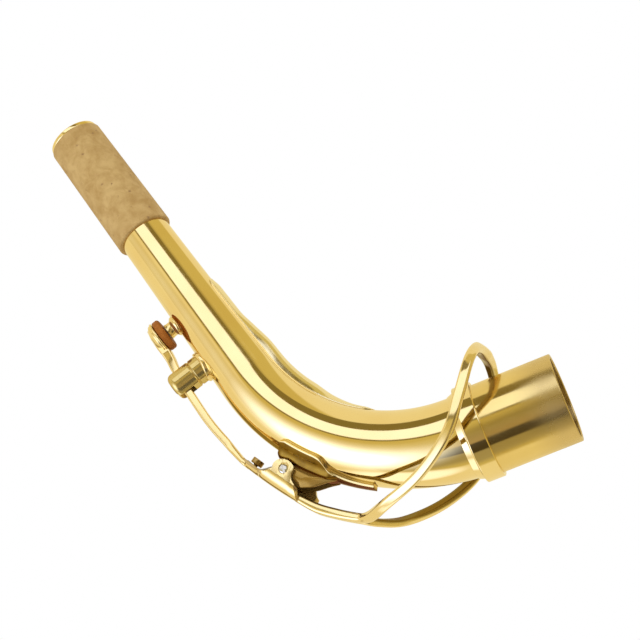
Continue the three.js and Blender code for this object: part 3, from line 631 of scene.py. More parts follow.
def brass(name, pale, deep, rough, coat, wave=0.02, stretch=(1, 1, 1), metal=1.0, worn=None, tint=WHITE,
          inside=None):
    """Polished brass.

    Where worn gives two heights, it turns brown and dull below them. The tint colours what it
    mirrors at a low angle, and inside is a colour of painted shade, laid on less metallic where the
    piece's own "inner" value is 1.
    """
    @material(name)
    def made(nodes):
        where = nodes.place(stretch)
        cloud = nodes.noise(where, *CLOUD)
        grain = nodes.noise(where, 1400, 3, 0.6)
        dull = nodes.noise(where, *DULL)
        smudge = nodes.ramp(dull, [(0.42, rough[0]), (0.62, rough[1])])
        color = nodes.blotches(cloud, pale, deep)
        metallic = metal
        if worn:
            place = nodes.add("ShaderNodeSeparateXYZ", {0: nodes.place()}).outputs["Z"]
            zone = nodes.add("ShaderNodeMapRange", {
                "Value": nodes.plus(place, dull, WORN_WAVER), "To Min": 1.0, "To Max": 0.0,
                "From Min": worn[0] * METRE, "From Max": worn[1] * METRE}).outputs["Result"]
            color = nodes.mix(zone, color, WORN_BRASS)
            smudge = nodes.plus(smudge, zone, WORN_HAZE)
        # Painted shade: the inner side is given a dark colour and made less metallic
        if inside:
            inner = nodes.own("inner")
            color = nodes.mix(inner, color, inside)
            metallic = nodes.ramp(inner, [(0.0, metal), (1.0, metal - INNER_SHADE_DULL)])
        return dict(
            Metallic=metallic,
            Specular_Tint=tint,
            Base_Color=color,
            Roughness=smudge,
            Normal=nodes.bump(grain, 0.015, 0.00002, Normal=nodes.bump(cloud, wave, 0.0006)),
            Coat_Weight=coat,
        )
    return made


lacquer = brass("lacquered_brass", (0.94, 0.78, 0.42), (0.92, 0.74, 0.38), (0.05, 0.09), 0.5)
key_lacquer = brass("key_brass", (0.92, 0.75, 0.38), (0.90, 0.71, 0.34), (0.07, 0.12), 0.5, 0.05, metal=0.88)
# A darker, olive copy of the brass: painted shade and dark reflections on the guide post
post_shaded_brass = brass("post_shaded_brass", (0.70, 0.55, 0.22), (0.62, 0.47, 0.17), (0.06, 0.12), 0.4, 0.05,
                   metal=0.82, tint=(0.7, 0.55, 0.25))
# Painted shade: the saddle's inner side is painted dark amber
saddle_shaded_brass = brass("saddle_shaded_brass", (0.92, 0.75, 0.38), (0.90, 0.71, 0.34), (0.07, 0.12), 0.5, 0.05,
                     metal=0.9, inside=(0.46, 0.30, 0.08))
brace_brass = brass("brace_brass", (0.95, 0.85, 0.58), (0.93, 0.82, 0.54), (0.12, 0.18), 0.5)
# Painted shade: dark amber brass with a dark tint on what it mirrors, for the lugs under the key
lug_shade_brass = brass("lug_shade_brass", (0.42, 0.26, 0.06), (0.32, 0.19, 0.04), (0.10, 0.2), 0.2, 0.1,
                   metal=0.6, tint=(0.4, 0.25, 0.05))
tenon_brass = brass("tenon_brass", (0.87, 0.69, 0.31), (0.81, 0.62, 0.25), (0.08, 0.16), 0.0, 0.03,
                    (1, 1, 0.2), metal=0.97, worn=(-15, -7))
screw_brass = brass("screw_brass", (0.56, 0.40, 0.17), (0.44, 0.30, 0.11), (0.16, 0.26), 0.0, 0.05)


@material("plate_shaded_brass")
def plate_shaded_brass(nodes):
    """Brass painted dark amber as shade and dark reflection of the key over it, and in its own colour at the
    rim.
    """
    rim = nodes.own("rim")
    cloud = nodes.noise(nodes.place(), 300, 4, 0.6)
    # Painted shade: dark amber everywhere but the rim
    painted_shade = nodes.blotches(cloud, (0.25, 0.14, 0.015), (0.17, 0.09, 0.01))
    return dict(
        Metallic=0.95,
        Base_Color=nodes.mix(rim, painted_shade, (0.94, 0.80, 0.46)),
        Roughness=nodes.ramp(cloud, [(0.4, 0.10), (0.6, 0.2)]),
        Normal=nodes.bump(cloud, 0.08, 0.0003),
        Specular_Tint=nodes.mix(rim, (0.4, 0.24, 0.04), (1.0, 0.9, 0.6)),
        Coat_Weight=0.15,
    )


@material("ring_shaded_brass")
def ring_shaded_brass(nodes):
    """The key's brass, with painted shade on the inner side: dark amber, and a dark tint on what it mirrors.
    """
    inner = nodes.own("inner")
    where = nodes.place()
    cloud = nodes.noise(where, *CLOUD)
    bright = nodes.blotches(cloud, (0.92, 0.76, 0.40), (0.90, 0.72, 0.36))
    return dict(
        Metallic=0.92,
        Base_Color=nodes.mix(inner, bright, (0.26, 0.18, 0.035)),
        Specular_Tint=nodes.mix(inner, WHITE, (0.4, 0.28, 0.06)),
        Roughness=nodes.ramp(nodes.noise(where, *DULL), [(0.42, 0.08), (0.62, 0.13)]),
        Normal=nodes.bump(cloud, 0.05, 0.0006),
        Coat_Weight=0.5,
    )


@material("screw_steel")
def steel(nodes):
    turned = nodes.noise(nodes.place(), 2200, 2)
    return dict(
        Metallic=1.0,
        Base_Color=nodes.mix(turned, (0.86, 0.85, 0.84), (0.62, 0.61, 0.61)),
        Roughness=nodes.ramp(turned, [(0.3, 0.16), (0.7, 0.3)]),
        Normal=nodes.bump(turned, 0.1, 0.00003),
    )


@material("blued_steel")
def blued(nodes):
    where = nodes.place()
    temper = nodes.noise(where, 300, 3)
    return dict(
        Metallic=1.0,
        Base_Color=nodes.blotches(temper, (0.34, 0.29, 0.22), (0.50, 0.42, 0.30)),
        Roughness=nodes.ramp(temper, [(0.3, 0.22), (0.7, 0.36)]),
        Normal=nodes.bump(nodes.noise(where, 2500, 2), 0.08, 0.00002),
    )


@material("cork")
def cork_skin(nodes):
    where = nodes.place()
    mottle = nodes.noise(where, 230, 5, 0.62, 0.4)
    patch = nodes.noise(where, 620, 4, 0.6)
    fine = nodes.noise(where, 3200, 3, 0.6)
    cell = nodes.add("ShaderNodeTexVoronoi", {"Vector": where, "Scale": 420.0}).outputs["Distance"]
    pit = nodes.plus(1.0, cell, -4.2, True)
    pits = nodes.math("MULTIPLY", pit, nodes.ramp(patch, [(0.52, 0.0), (0.6, 1.0)]))
    base = nodes.blotches(mottle, (0.45, 0.275, 0.088), (0.60, 0.405, 0.160), high=0.66)
    base = nodes.mix(nodes.ramp(patch, [(0.55, 0.0), (0.75, 0.5)]), base, (0.46, 0.27, 0.10))
    base = nodes.mix(pits, base, (0.24, 0.13, 0.06))
    height = nodes.math("SUBTRACT", nodes.math("MULTIPLY", fine, 0.5), pits)
    return dict(
        Base_Color=base,
        Roughness=nodes.ramp(fine, [(0.3, 0.72), (0.7, 0.9)]),
        Normal=nodes.bump(height, 0.5, 0.00012),
        Specular_IOR_Level=0.3,
    )


@material("leather")
def leather(nodes):
    where = nodes.place()
    cloud = nodes.noise(where, 420, 4, 0.6)
    grain = nodes.add("ShaderNodeTexVoronoi", {"Vector": where, "Scale": 2600.0}).outputs["Distance"]
    fine = nodes.noise(where, 5200, 3, 0.6)
    return dict(
        Base_Color=nodes.blotches(cloud, (0.28, 0.085, 0.012), (0.40, 0.135, 0.022)),
        Roughness=nodes.ramp(cloud, [(0.3, 0.42), (0.7, 0.58)]),
        Normal=nodes.bump(nodes.plus(grain, fine, 0.4), 0.12, 0.00005),
        Specular_IOR_Level=0.08,
    )


@material("card")
def card(nodes):
    fibre = nodes.noise(nodes.place(), 3000, 5, 0.65)
    return dict(
        Base_Color=nodes.mix(fibre, (0.55, 0.44, 0.30), (0.72, 0.62, 0.47)),
        Roughness=nodes.ramp(fibre, [(0.3, 0.85), (0.7, 0.98)]),
        Normal=nodes.bump(fibre, 0.3, 0.00005),
    )


# Neck

def tube():
    stations = np.concatenate([np.linspace(BEND_START, BEND_END, BEND_RINGS),
                               np.linspace(BEND_END, TUBE_END, STRAIGHT_RINGS)[1:]])
    outer = [circle(s, tube_radius(s)) for s in stations]
    inner = [circle(s, tube_radius(s) - TUBE_WALL) for s in stations[::-2]]
    made = loft("tube_skin", outer + inner, joined=True)
    drill(made, PIP_BORE / 2, -2, 2, standing(PIP_STATION))
    wear(made, lacquer, "neck_tube")


def tenon():
    outside = TENON_DIAMETER / 2
    rows = rectangle(outside - TENON_WALL, outside, -TENON_LENGTH, COLLAR_HEIGHT - COLLAR_SHELF)
    made = revolved("tenon_skin", eased(rows, TURNED_EDGE, closed=True), upright, TUBE_SIDES)
    wear(made, tenon_brass, "tenon_sleeve")


def collar():
    outside, band = COLLAR_DIAMETER / 2, BAND_DIAMETER / 2
    top, shelf = COLLAR_HEIGHT + BAND_HEIGHT, COLLAR_HEIGHT - COLLAR_SHELF
    over_sleeve = TENON_DIAMETER / 2 + COLLAR_PLAY
    over_tube = tube_radius(shelf) - SINK
    rows = [[over_sleeve, 0], [outside, 0], [outside, COLLAR_HEIGHT], [band, COLLAR_HEIGHT],
            [band - BAND_SLOPE, top], [over_tube, top], [over_tube, shelf], [over_sleeve, shelf]]
    made = revolved("collar_skin", eased(rows, TURNED_EDGE, closed=True), upright, TUBE_SIDES)
    wear(made, lacquer, "tenon_collar")


def swept_ring(name, rows):
    return loft(name, [circle(station, radius) for radius, station in rows], joined=True)


def cork():
    outer = eased([[tube_radius(CORK_ROOT) - SINK, CORK_ROOT], [CORK_ROOT_DIAMETER / 2, CORK_ROOT],
                   [CORK_TIP_DIAMETER / 2, TUBE_END], [tube_radius(TUBE_END) - SINK, TUBE_END]],
                  CORK_EDGE)
    half = len(outer) // 2
    first, last = outer[half - 1], outer[half]
    outer[half:half] = [first + (last - first) * (k / CORK_RINGS) for k in range(1, CORK_RINGS)]
    wear(swept_ring("cork_skin", outer), cork_skin, "neck_cork", sharp=70)


def tip_ring():
    rows = rectangle(TIP_BORE / 2, TIP_RING_DIAMETER / 2, TUBE_END, NECK_LENGTH)
    made = swept_ring("tip_skin", eased(rows, TURNED_EDGE, closed=True))
    wear(made, lacquer, "tip_ring")


BRACE_RISE_SHARES = [[0, 0.2], [0.08, 0.24], [0.22, 0.6], [0.34, 1], [0.62, 1], [0.74, 0.55],
                     [0.82, 0.22], [1, 0.2]]
BRACE_CROWN_SHARES = [[-1, 0], [-0.667, 0.62], [-0.333, 0.9], [0, 1], [0.333, 0.9], [0.667, 0.62], [1, 0]]
BRACE_TAPER = 0.05  # share of the length in which each end narrows
BRACE_END_WIDTH = 0.55  # of the whole width
BRACE_DROP = 0.04  # share of the length in which each end comes down
BRACE_END_RISE = 0.3  # of the rise beside it


def brace():
    stations = np.linspace(BRACE_START, BRACE_START + BRACE_LENGTH, BRACE_RINGS)

    def width(share):
        end = clamp(min(share, 1 - share) / BRACE_TAPER)
        return BRACE_WIDTH / 2 * (BRACE_END_WIDTH + (1 - BRACE_END_WIDTH) * sqrt(1 - (1 - end) ** 2))

    def row(station, height):
        share = (station - BRACE_START) / BRACE_LENGTH
        radius = tube_radius(station)
        return [around(station, radius + height(share, side), pi + side * width(share) / radius)
                for side in np.linspace(-1, 1, BRACE_COLUMNS)]

    def crown(share, side):
        lift = BRACE_SEAT + BRACE_RISE * along(BRACE_RISE_SHARES, share) - BRACE_EDGE
        ends = min(min(share, 1 - share) / BRACE_DROP, 1)
        return ((BRACE_EDGE + lift * along(BRACE_CROWN_SHARES, side))
                * (BRACE_END_RISE + (1 - BRACE_END_RISE) * ends))

    made = sheet("brace_skin", [row(s, crown) for s in stations],
                 [row(s, lambda share, side: -SINK) for s in stations])
    rounded(made, 0.07, 50, 2)
    wear(made, brace_brass, "neck_brace")


def pip():
    bore, foot = PIP_BORE / 2, PIP_FOOT_DIAMETER / 2
    stem, rim = PIP_DIAMETER / 2 + 0.15, PIP_RIM_DIAMETER / 2
    edge = PIP_FOOT_HEIGHT * 0.6
    rows = eased([
        [bore, -SINK], [foot, -SINK], [foot, edge], [stem + 0.6, PIP_FOOT_HEIGHT],
        [stem, PIP_FOOT_HEIGHT + 0.4], [stem, PIP_HEIGHT - PIP_RIM_HEIGHT],
        [rim - 0.15, PIP_HEIGHT - PIP_RIM_HEIGHT * 0.6], [rim, PIP_HEIGHT], [bore, PIP_HEIGHT],
    ], 0.22, 4, True)
    spot = standing(PIP_STATION, lambda height: clamp(1 - (height - edge) / PIP_FADE))
    made = revolved("pip_skin", rows, spot, SMALL_SIDES)
    wear(made, key_lacquer, "octave_pip")


def guide_foot():
    radius = GUIDE_FOOT_DIAMETER / 2
    rows = eased(rectangle(0, radius, -SINK, GUIDE_FOOT_HEIGHT), 0.3, 5)
    rows[-1:-1] = [[radius * k / 6, GUIDE_FOOT_HEIGHT] for k in range(5, 0, -1)]
    made = revolved("foot_skin", rows, standing(GUIDE_STATION, lambda height: 1.0), 72)
    wear(made, key_lacquer, "guide_foot")


def guide_post():
    radius = GUIDE_DIAMETER / 2
    dome = [[radius - GUIDE_DOME * (1 - cos(a)), GUIDE_HEIGHT - GUIDE_DOME * (1 - sin(a))]
            for a in np.linspace(0, pi / 2, 8)]
    groove = eased([
        [radius, GUIDE_FOOT_HEIGHT], [radius, GUIDE_NECK_HEIGHT - GUIDE_GROOVE],
        [radius - GUIDE_GROOVE, GUIDE_NECK_HEIGHT], [radius, GUIDE_NECK_HEIGHT + GUIDE_GROOVE],
        [radius, GUIDE_HEIGHT - GUIDE_DOME - 0.2],
    ], 0.12, 3)
    rows = [[0, GUIDE_SEAT], [radius - 0.3, GUIDE_SEAT], *groove, *dome, [0, GUIDE_HEIGHT]]
    faded = GUIDE_FOOT_HEIGHT + GUIDE_FADE
    spot = standing(GUIDE_STATION, lambda height: clamp((faded - height) / GUIDE_FADE))
    made = revolved("post_skin", rows, spot)
    depth = GUIDE_HEIGHT - GUIDE_SLOT_HEIGHT + 2
    cut_slot(made, over(GUIDE_STATION, GUIDE_SLOT_HEIGHT + depth / 2), axes_at(GUIDE_STATION),
             (4 * radius, depth, GUIDE_SLOT))
    rounded(made, 0.18, 40)
    wear(made, post_shaded_brass, "guide_post")


PLATE_WIDTH_SHARES = [[0, 0.24], [0.2, 0.33], [0.42, 0.58], [0.55, 0.96], [0.62, 1], [0.94, 1], [1, 0.92]]


def plate():
    def solder(station, across):
        """How far the plate rises towards the lugs that stand on it."""
        beside = max(1 - max(abs(across) - LUG_OUTSIDE, 0) / PLATE_FILLET, 0)
        ends = min(station - (PIVOT_STATION - LUG_TAIL), PIVOT_STATION + LUG_TOP + PLATE_FILLET - station)
        return PLATE_FILLET * 0.5 * beside * beside * clamp(ends / PLATE_FILLET)

    def face(height, risen):
        rows = []
        for share in np.linspace(0, 1, PLATE_ROWS):
            station = PLATE_START + share * PLATE_LENGTH
            radius = tube_radius(station)
            reach = along(PLATE_WIDTH_SHARES, share) * PLATE_HALF_WIDTH / radius
            rows.append([
                around(station, radius + height + risen * solder(station, radius * sin(angle)), angle)
                for angle in np.linspace(-1, 1, PLATE_COLUMNS) * reach])
        return rows

    made = sheet("plate_skin", face(PLATE_TOP, 1), face(-SINK, 0))
    edges = (0, 1, PLATE_COLUMNS - 2, PLATE_COLUMNS - 1)
    tell(made, "rim", [index >= PLATE_ROWS * PLATE_COLUMNS or index % PLATE_COLUMNS in edges
                       for index in range(len(made.data.vertices))])
    rounded(made, 0.12, 60)
    wear(made, plate_shaded_brass, "saddle_plate")


def lug_outline():
    top, seat = PIVOT_HEIGHT + LUG_TOP, PLATE_TOP - 0.5
    rows = [(LUG_TOP, seat), (LUG_TOP, PIVOT_HEIGHT + LUG_TOP * 0.33),
            (LUG_TOP * 0.7, PIVOT_HEIGHT + LUG_TOP * 0.8), (0, top), (-LUG_TAIL * 0.36, top),
            (-LUG_TAIL * 0.62, top * 0.73), (-LUG_TAIL * 0.84, top * 0.36), (-LUG_TAIL, PLATE_TOP),
            (-LUG_TAIL, seat)]
    points = eased([over(PIVOT_STATION + offset, height) for offset, height in rows], 1.2)
    return points + [over(PIVOT_STATION - LUG_TAIL + (LUG_TAIL + LUG_TOP) * k / 8, seat) for k in range(1, 8)]


LUG_RIM = 0.3  # share of the way from a lug's rim to its middle that is rounded


def lug(name, side, node):
    """A lug, flat inside, and outside a low dome with a rounded rim."""
    inner = LUG_SPACE / 2
    outline = np.array(lug_outline())
    middle_of = outline.mean(axis=0)
    rings = [[p + ACROSS * side * inner for p in outline]]
    for share in np.linspace(0.0, 1.0, LUG_RINGS):
        rim = min(share / LUG_RIM, 1)
        dome = max(share - LUG_RIM, 0) / (1 - LUG_RIM)
        shrink = 1 - 0.08 * (1 - sqrt(max(1 - rim * rim, 0))) - 0.8 * dome
        rise = LUG_THICKNESS * (0.2 + 0.25 * rim + 0.55 * sin(pi / 2 * dome))
        rings.append([middle_of + (p - middle_of) * shrink + ACROSS * side * (inner + rise) for p in outline])
    made = loft(name, rings)
    low, high = sorted((side * inner, side * LUG_OUTSIDE))
    drill(made, SCREW_DIAMETER / 2 + LUG_PLAY, low - 2, high + 2, across_pivot)
    wear(made, lug_shade_brass, node)


# Key

def screw():
    near = -SADDLE_HALF_WIDTH - SCREW_PROUD
    head, shank = SCREW_HEAD_DIAMETER / 2, SCREW_DIAMETER / 2
    rows = eased([
        [0, near], [head * 0.72, near + 0.04], [head, near + 0.28], [head, -EAR_INSIDE], [shank, -EAR_INSIDE],
        [shank, SADDLE_HALF_WIDTH - 0.25], [shank - 0.25, SADDLE_HALF_WIDTH], [0, SADDLE_HALF_WIDTH],
    ], 0.12, 4)
    made = revolved("screw_skin", rows, across_pivot, SMALL_SIDES)
    turn = middle(PIVOT_STATION)[2] + SCREW_TURN
    c, d = cos(turn), sin(turn)
    axes = np.array([d, 0, c]), ACROSS, np.array([c, 0, -d])
    cut_slot(made, PIVOT + ACROSS * near, axes, (4 * head, 2 * SCREW_SLOT_DEPTH, SCREW_SLOT_WIDTH))
    wear(made, steel, "pivot_screw", "octave_key", sharp=35)


SADDLE_WIDTH_SHARES = [[0, 0.94], [0.14, 1], [0.6, 1], [0.75, 0.66], [1, 0.56]]


def saddle_back(offset):
    share = (SADDLE_ARM_END - offset) / (SADDLE_ARM_END + SADDLE_RING_END)
    return SADDLE_HEIGHT + SADDLE_LIFT * share * share


def saddle_section(offset, inset):
    share = (offset + SADDLE_RING_END) / (SADDLE_RING_END + SADDLE_ARM_END)
    half = SADDLE_HALF_WIDTH * along(SADDLE_WIDTH_SHARES, share)
    corner = min(SADDLE_CORNER, half - SADDLE_SHEET / 2) - inset
    back = saddle_back(offset) - inset
    low = PIVOT_HEIGHT - EAR_RADIUS - FIT
    near = [(low, -half + inset), ((low + back - corner) / 2, -half + inset)]
    for a in np.linspace(0, pi / 2, 13):
        near.append((back - corner * (1 - sin(a)), -half + inset + corner * (1 - cos(a))))
    points = near + [(h, -y) for h, y in reversed(near)]
    result = []
    for height, across in points:
        curl = SADDLE_CURL * level_ends((height - PIVOT_HEIGHT) / (back - PIVOT_HEIGHT)) * max(-across, 0)
        slant = (SADDLE_SKEW * across + curl) * (1 - share) / SADDLE_HALF_WIDTH
        result.append(over(PIVOT_STATION + offset - slant, height, across))
    return result


def below_saddle(ring_flank, shoulder, low, high):
    """What is cut away under the saddle's back on one side, to leave a round ear at the pivot."""
    under = SADDLE_HEIGHT - SADDLE_SHEET - FIT
    ring_end = -SADDLE_RING_END - SADDLE_SKEW - 2
    arm_end = SADDLE_ARM_END + 2
    line = [(ring_end, shoulder + 0.9), (-ring_flank - 2.6, shoulder + 0.5),
            (-ring_flank - 1.2, shoulder - 0.5), (-ring_flank - 0.4, shoulder * 0.8),
            (-ring_flank, PIVOT_HEIGHT + ring_flank * 0.1)]
    line += [(max(EAR_RADIUS * cos(angle), -ring_flank), PIVOT_HEIGHT - EAR_RADIUS * sin(angle))
             for angle in np.linspace(1, -0.15, EAR_STEPS) * pi]
    line += [(SADDLE_SHEET + EAR_RADIUS, under), (arm_end, under)]
    line = eased(line, 0.9) + [(arm_end, -3.0), (ring_end, -3.0)]
    return loft("below", [[over(PIVOT_STATION + offset, height, across) for offset, height in line]
                          for across in (low, high)])


def within_saddle(x, y, z):
    """Whether a point of the saddle lies on its inner side."""
    station = BEND_START + BEND_RADIUS * atan2(z - BEND_START, BEND_RADIUS - x)
    height = hypot(BEND_RADIUS - x, z - BEND_START) - BEND_RADIUS - tube_radius(station)
    return height < saddle_back(station - PIVOT_STATION) - SADDLE_SHEET + 0.3 and abs(y) < EAR_INSIDE + 0.2


def saddle():
    offsets = np.linspace(-SADDLE_RING_END, SADDLE_ARM_END, SADDLE_RINGS)
    made = sheet("saddle_skin", *([saddle_section(offset, inset) for offset in offsets]
                                  for inset in (0, SADDLE_SHEET)))
    wide = SADDLE_HALF_WIDTH + 2
    carve(made, below_saddle(NEAR_EAR_FLANK, PIVOT_HEIGHT + 2.7, -wide, 0),
          below_saddle(FAR_EAR_FLANK, SADDLE_HEIGHT - SADDLE_CORNER / 2, 0, wide))
    drill(made, SCREW_HEAD_DIAMETER / 2 + EAR_PLAY, -wide, 0, across_pivot, EAR_HOLE_SIDES)
    drill(made, SCREW_DIAMETER / 2 + EAR_PLAY, 0, wide, across_pivot, EAR_HOLE_SIDES)
    rounded(made, 0.25, 40)
    # Points on the saddle's inner side are marked for their painted shade
    tell(made, "inner", [within_saddle(*(c / METRE for c in vertex.co)) for vertex in made.data.vertices])
    wear(made, saddle_shaded_brass, "key_saddle", "octave_key")


ARM_UNDER_SHARES = [[0, 1.2], [0.1, 1.09], [0.2, 1.02], [0.4, 1.03], [0.6, 1.02], [0.85, 0.94],
                    [0.93, 0.86], [1, 0.82]]
ARM_HEIGHT_SHARES = [[0, 0.68], [0.2, 0.95], [0.8, 1], [0.9, 1.07], [1, 1.18]]
ARM_WIDTH_SHARES = [[0, 1.9], [0.06, 1.45], [0.14, 1.05], [0.8, 1], [0.9, 1.08], [1, 1.35]]
ARM_TIP_REACH = 0.9  # how far over the cup, of its diameter
ARM_TIP_RISE, ARM_TIP_FALL, ARM_TIP_DEPTH = 1.15, 0.6, 0.9  # at the cup's top
ARM_TIP_WIDTHS = (1.35, 0.75)  # at the cup's edge, and how much less at the end


def arm():
    start = PIVOT_STATION + SADDLE_ARM_END
    end = PIP_STATION - CUP_DIAMETER / 2
    rings = []

    def add(station, low, high, width, edge):
        centre = over(station, (low + high) / 2)
        rings.append(bar_section(centre, *axes_at(station)[1:], high - low, width, edge))

    def ends(share):
        low = ARM_OVER_TUBE * along(ARM_UNDER_SHARES, share)
        return low, low + ARM_HEIGHT * along(ARM_HEIGHT_SHARES, share)

    for share in np.linspace(-0.03, 1, ARM_RINGS):
        low, high = ends(share)
        width = ARM_WIDTH * along(ARM_WIDTH_SHARES, share)
        add(start + (end - start) * share, low, high, width, min(0.55, (high - low) * 0.4))
    last_low, last_high = ends(1)
    ridge = CUP_TOP + ARM_TIP_RISE
    for share in np.linspace(0, 1, ARM_TIP_RINGS)[1:]:
        high = ridge + (last_high - ridge) * (1 - share) ** 2 - ARM_TIP_FALL * share * share
        low = last_low + (CUP_TOP - ARM_TIP_DEPTH - last_low) * min(share * 3, 1)
        width = ARM_WIDTH * (ARM_TIP_WIDTHS[0] - ARM_TIP_WIDTHS[1] * share)
        add(end + CUP_DIAMETER * ARM_TIP_REACH * share, low, high, width, 0.4)
    made = loft("arm_skin", rings)
    rounded(made, 0.3, 60)
    wear(made, key_lacquer, "key_arm", "octave_key")


def cup():
    outside = CUP_DIAMETER / 2
    inside = outside - CUP_WALL
    rows = eased([
        [0, CUP_TOP - 0.6], [inside, CUP_TOP - 0.7], [inside, CUP_RIM - 0.1], [outside, CUP_RIM - 0.1],
        [outside, CUP_RIM + 0.45], [outside - 0.3, CUP_RIM + 0.55], [outside - 0.35, CUP_RIM + 1.05],
        [outside * 0.66, CUP_TOP + 0.35], [outside * 0.35, CUP_TOP + 0.8], [0, CUP_TOP + 0.85],
    ], 0.3, 5)
    made = revolved("cup_skin", rows, standing(PIP_STATION))
    wear(made, key_lacquer, "pad_cup", "octave_key")


PUCKER_SEED = 7
PUCKER_WAVES = (5, 9, 14, 23)  # folds round the pad's side
PUCKER_DEPTHS = (0.010, 0.022)
PUCKER_ROOM = 0.035  # kept free of the pad's full width


def pad():
    """The leather pad: crowned, full at its side and drawn in under the cup."""
    outside = PAD_DIAMETER / 2
    plug = outside - 0.9
    low, shoulder = PAD_FACE, PAD_FACE + PAD_SHOWN
    rows = [[outside * share, low + 0.02 + 0.1 * max(share - 0.5, 0) ** 2]
            for share in (0, 0.2, 0.35, 0.5, 0.6, 0.72)]
    rows += [[outside - 0.75 + 0.75 * sin(a), low + 0.75 - 0.72 * cos(a)]
             for a in np.linspace(0.35, pi / 2, 7)]
    rows += [[outside - 0.6 + 0.6 * cos(a), shoulder - 0.35 + 0.45 * sin(a)]
             for a in np.linspace(0.15, pi / 2, 6)]
    rows += [[plug, shoulder + 0.25], [plug, CUP_TOP - 1.6], [0, CUP_TOP - 1.6]]
    made = revolved("pad_skin", rows, standing(PIP_STATION))
    rng = np.random.default_rng(PUCKER_SEED)
    waves = [(k, rng.uniform(0, 2 * pi), rng.uniform(*PUCKER_DEPTHS)) for k in PUCKER_WAVES]
    foot = over(PIP_STATION, 0)
    on, out, across = axes_at(PIP_STATION)
    for vertex in made.data.vertices:
        point = np.array(vertex.co) / METRE - foot
        height = point @ out
        u, v = point @ on, point @ across
        radius = hypot(u, v)
        if radius > outside * 0.6 and low + 0.2 < height < shoulder + 0.1:
            angle = atan2(v, u)
            pucker = sum(size * sin(k * angle + phase) for k, phase, size in waves)
            pull = 1 + (pucker - PUCKER_ROOM) / radius
            vertex.co = Vector((foot + out * height + (on * u + across * v) * pull) * METRE)
    wear(made, leather, "octave_pad", "octave_key", sharp=70)


# Rows of the ring's half: share of the chord, of the bow and of the half width
RING_PATH_SHARES = [[0.025, 0.18, 0.17], [0.114, 0.5, 0.5], [0.311, 0.88, 0.78], [0.539, 0.98, 1],
                    [0.726, 0.71, 1.01], [0.9, 0.37, 0.87], [0.985, 0.14, 0.44], [1, 0.09, 0]]
RING_BAR_SHARES = [[0, 1], [0.5, 0.9], [0.84, 0.93], [0.93, 1.12], [1, 1.35]]
STEM_LIFT_SHARES = [[0, 1], [0.35, 1], [0.63, 1.01], [1, 0.95]]
STEM_THICKNESS_SHARES = [[0, 1], [0.5, 1], [1, 0.8]]
# Where each leg of the fork lies: share of the stem, and place across in widths of the stem
FORK_SHARES = [[1.04, 0.18], [0.7, 0.18], [0.4, 0.18], [0.16, 0.22], [0, 0.32]]
LEG_WIDTH = 0.64  # of the stem's width
LEG_STEP = 0.02  # keeps the faces of the two legs apart
# Where the stem turns into the ring, and over how much, in lengths of the stem
FORK_START = 0.6
TWIST_LENGTH, SWELL_LENGTH = 3.2, 1.2


def stem_point(share, across):
    first = STEM_STATION - PIVOT_STATION
    station = PIVOT_STATION + first + (-SADDLE_RING_END - first) * share
    slant = SADDLE_SKEW * max(share, 0) / SADDLE_HALF_WIDTH
    height = STEM_MIDDLE_HEIGHT * along(STEM_LIFT_SHARES, share)
    return over(station, height, across) - axes_at(station)[0] * slant * across


def ring():
    """The ring and its stem: one bar down the stem, round the tenon and up the stem again."""
    down = np.array([cos(RING_FALL), 0, -sin(RING_FALL)])
    hang = np.array([-sin(RING_FALL), 0, -cos(RING_FALL)])
    start = over(STEM_STATION, STEM_MIDDLE_HEIGHT)

    def side(sign):
        legs = [stem_point(share, sign * across * STEM_WIDTH) for share, across in FORK_SHARES]
        return legs + [start + down * (chord * RING_CHORD) + hang * (bow * RING_BOW)
                       + ACROSS * (sign * wide * RING_HALF_WIDTH) for chord, bow, wide in RING_PATH_SHARES]

    path = curve(side(-1) + side(1)[-2::-1], LOOP_RINGS)
    length = np.linalg.norm(np.diff(path, axis=0), axis=1).sum()
    stem_share = 2 * (STEM_STATION - PIVOT_STATION + SADDLE_RING_END) / -length
    rings, inner = [], []
    loop_middle = path.mean(axis=0)
    stem_out = axes_at(STEM_STATION)[1]
    for i, point in enumerate(path):
        share = 1 - abs(1 - 2 * i / (len(path) - 1))
        tangent = path[min(i + 1, len(path) - 1)] - path[max(i - 1, 0)]
        tangent /= np.linalg.norm(tangent)
        wide = -hang - tangent * (-hang @ tangent)
        blend = level_ends((share - stem_share * FORK_START) / (stem_share * TWIST_LENGTH))
        thick = np.cross(tangent, wide / np.linalg.norm(wide)) * blend + stem_out * (1 - blend)
        wide = np.cross(thick, tangent)
        wide /= np.linalg.norm(wide)
        facing = np.cross(tangent, wide)
        size = along(RING_BAR_SHARES, max((share - stem_share) / (1 - stem_share), 0))
        stem_height = STEM_HEIGHT * along(STEM_THICKNESS_SHARES, max(1 - share / stem_share, 0))
        mix = level_ends((share / stem_share - FORK_START) / SWELL_LENGTH)
        thickness = RING_BAR_THICKNESS * size * mix + stem_height * (1 - mix)
        width = RING_BAR_WIDTH * size * mix + STEM_WIDTH * LEG_WIDTH * (1 - mix)
        lower = facing * (LEG_STEP if i > len(path) / 2 else 0)
        rings.append(oval_section(point - lower, facing, wide, thickness, width))
        # The inner side, painted as shade, is what faces away from the stem's outer face, or into the loop
        facing = facing * (np.sign(facing @ thick) or 1)
        toward = loop_middle - point
        toward -= tangent * (toward @ tangent)
        toward /= max(np.linalg.norm(toward), 1.0) * (thickness + width) / 4
        for spot in np.array(rings[-1]) - point:
            outer_share = spot @ facing * 2 / thickness
            inner.append(clamp(max(0.3 - 2.5 * (outer_share + 0.6), 3 * (spot @ toward - 0.45))))
    made = loft("ring_skin", rings)
    tell(made, "inner", inner)
    wear(made, ring_shaded_brass, "key_ring", "octave_key", sharp=60)


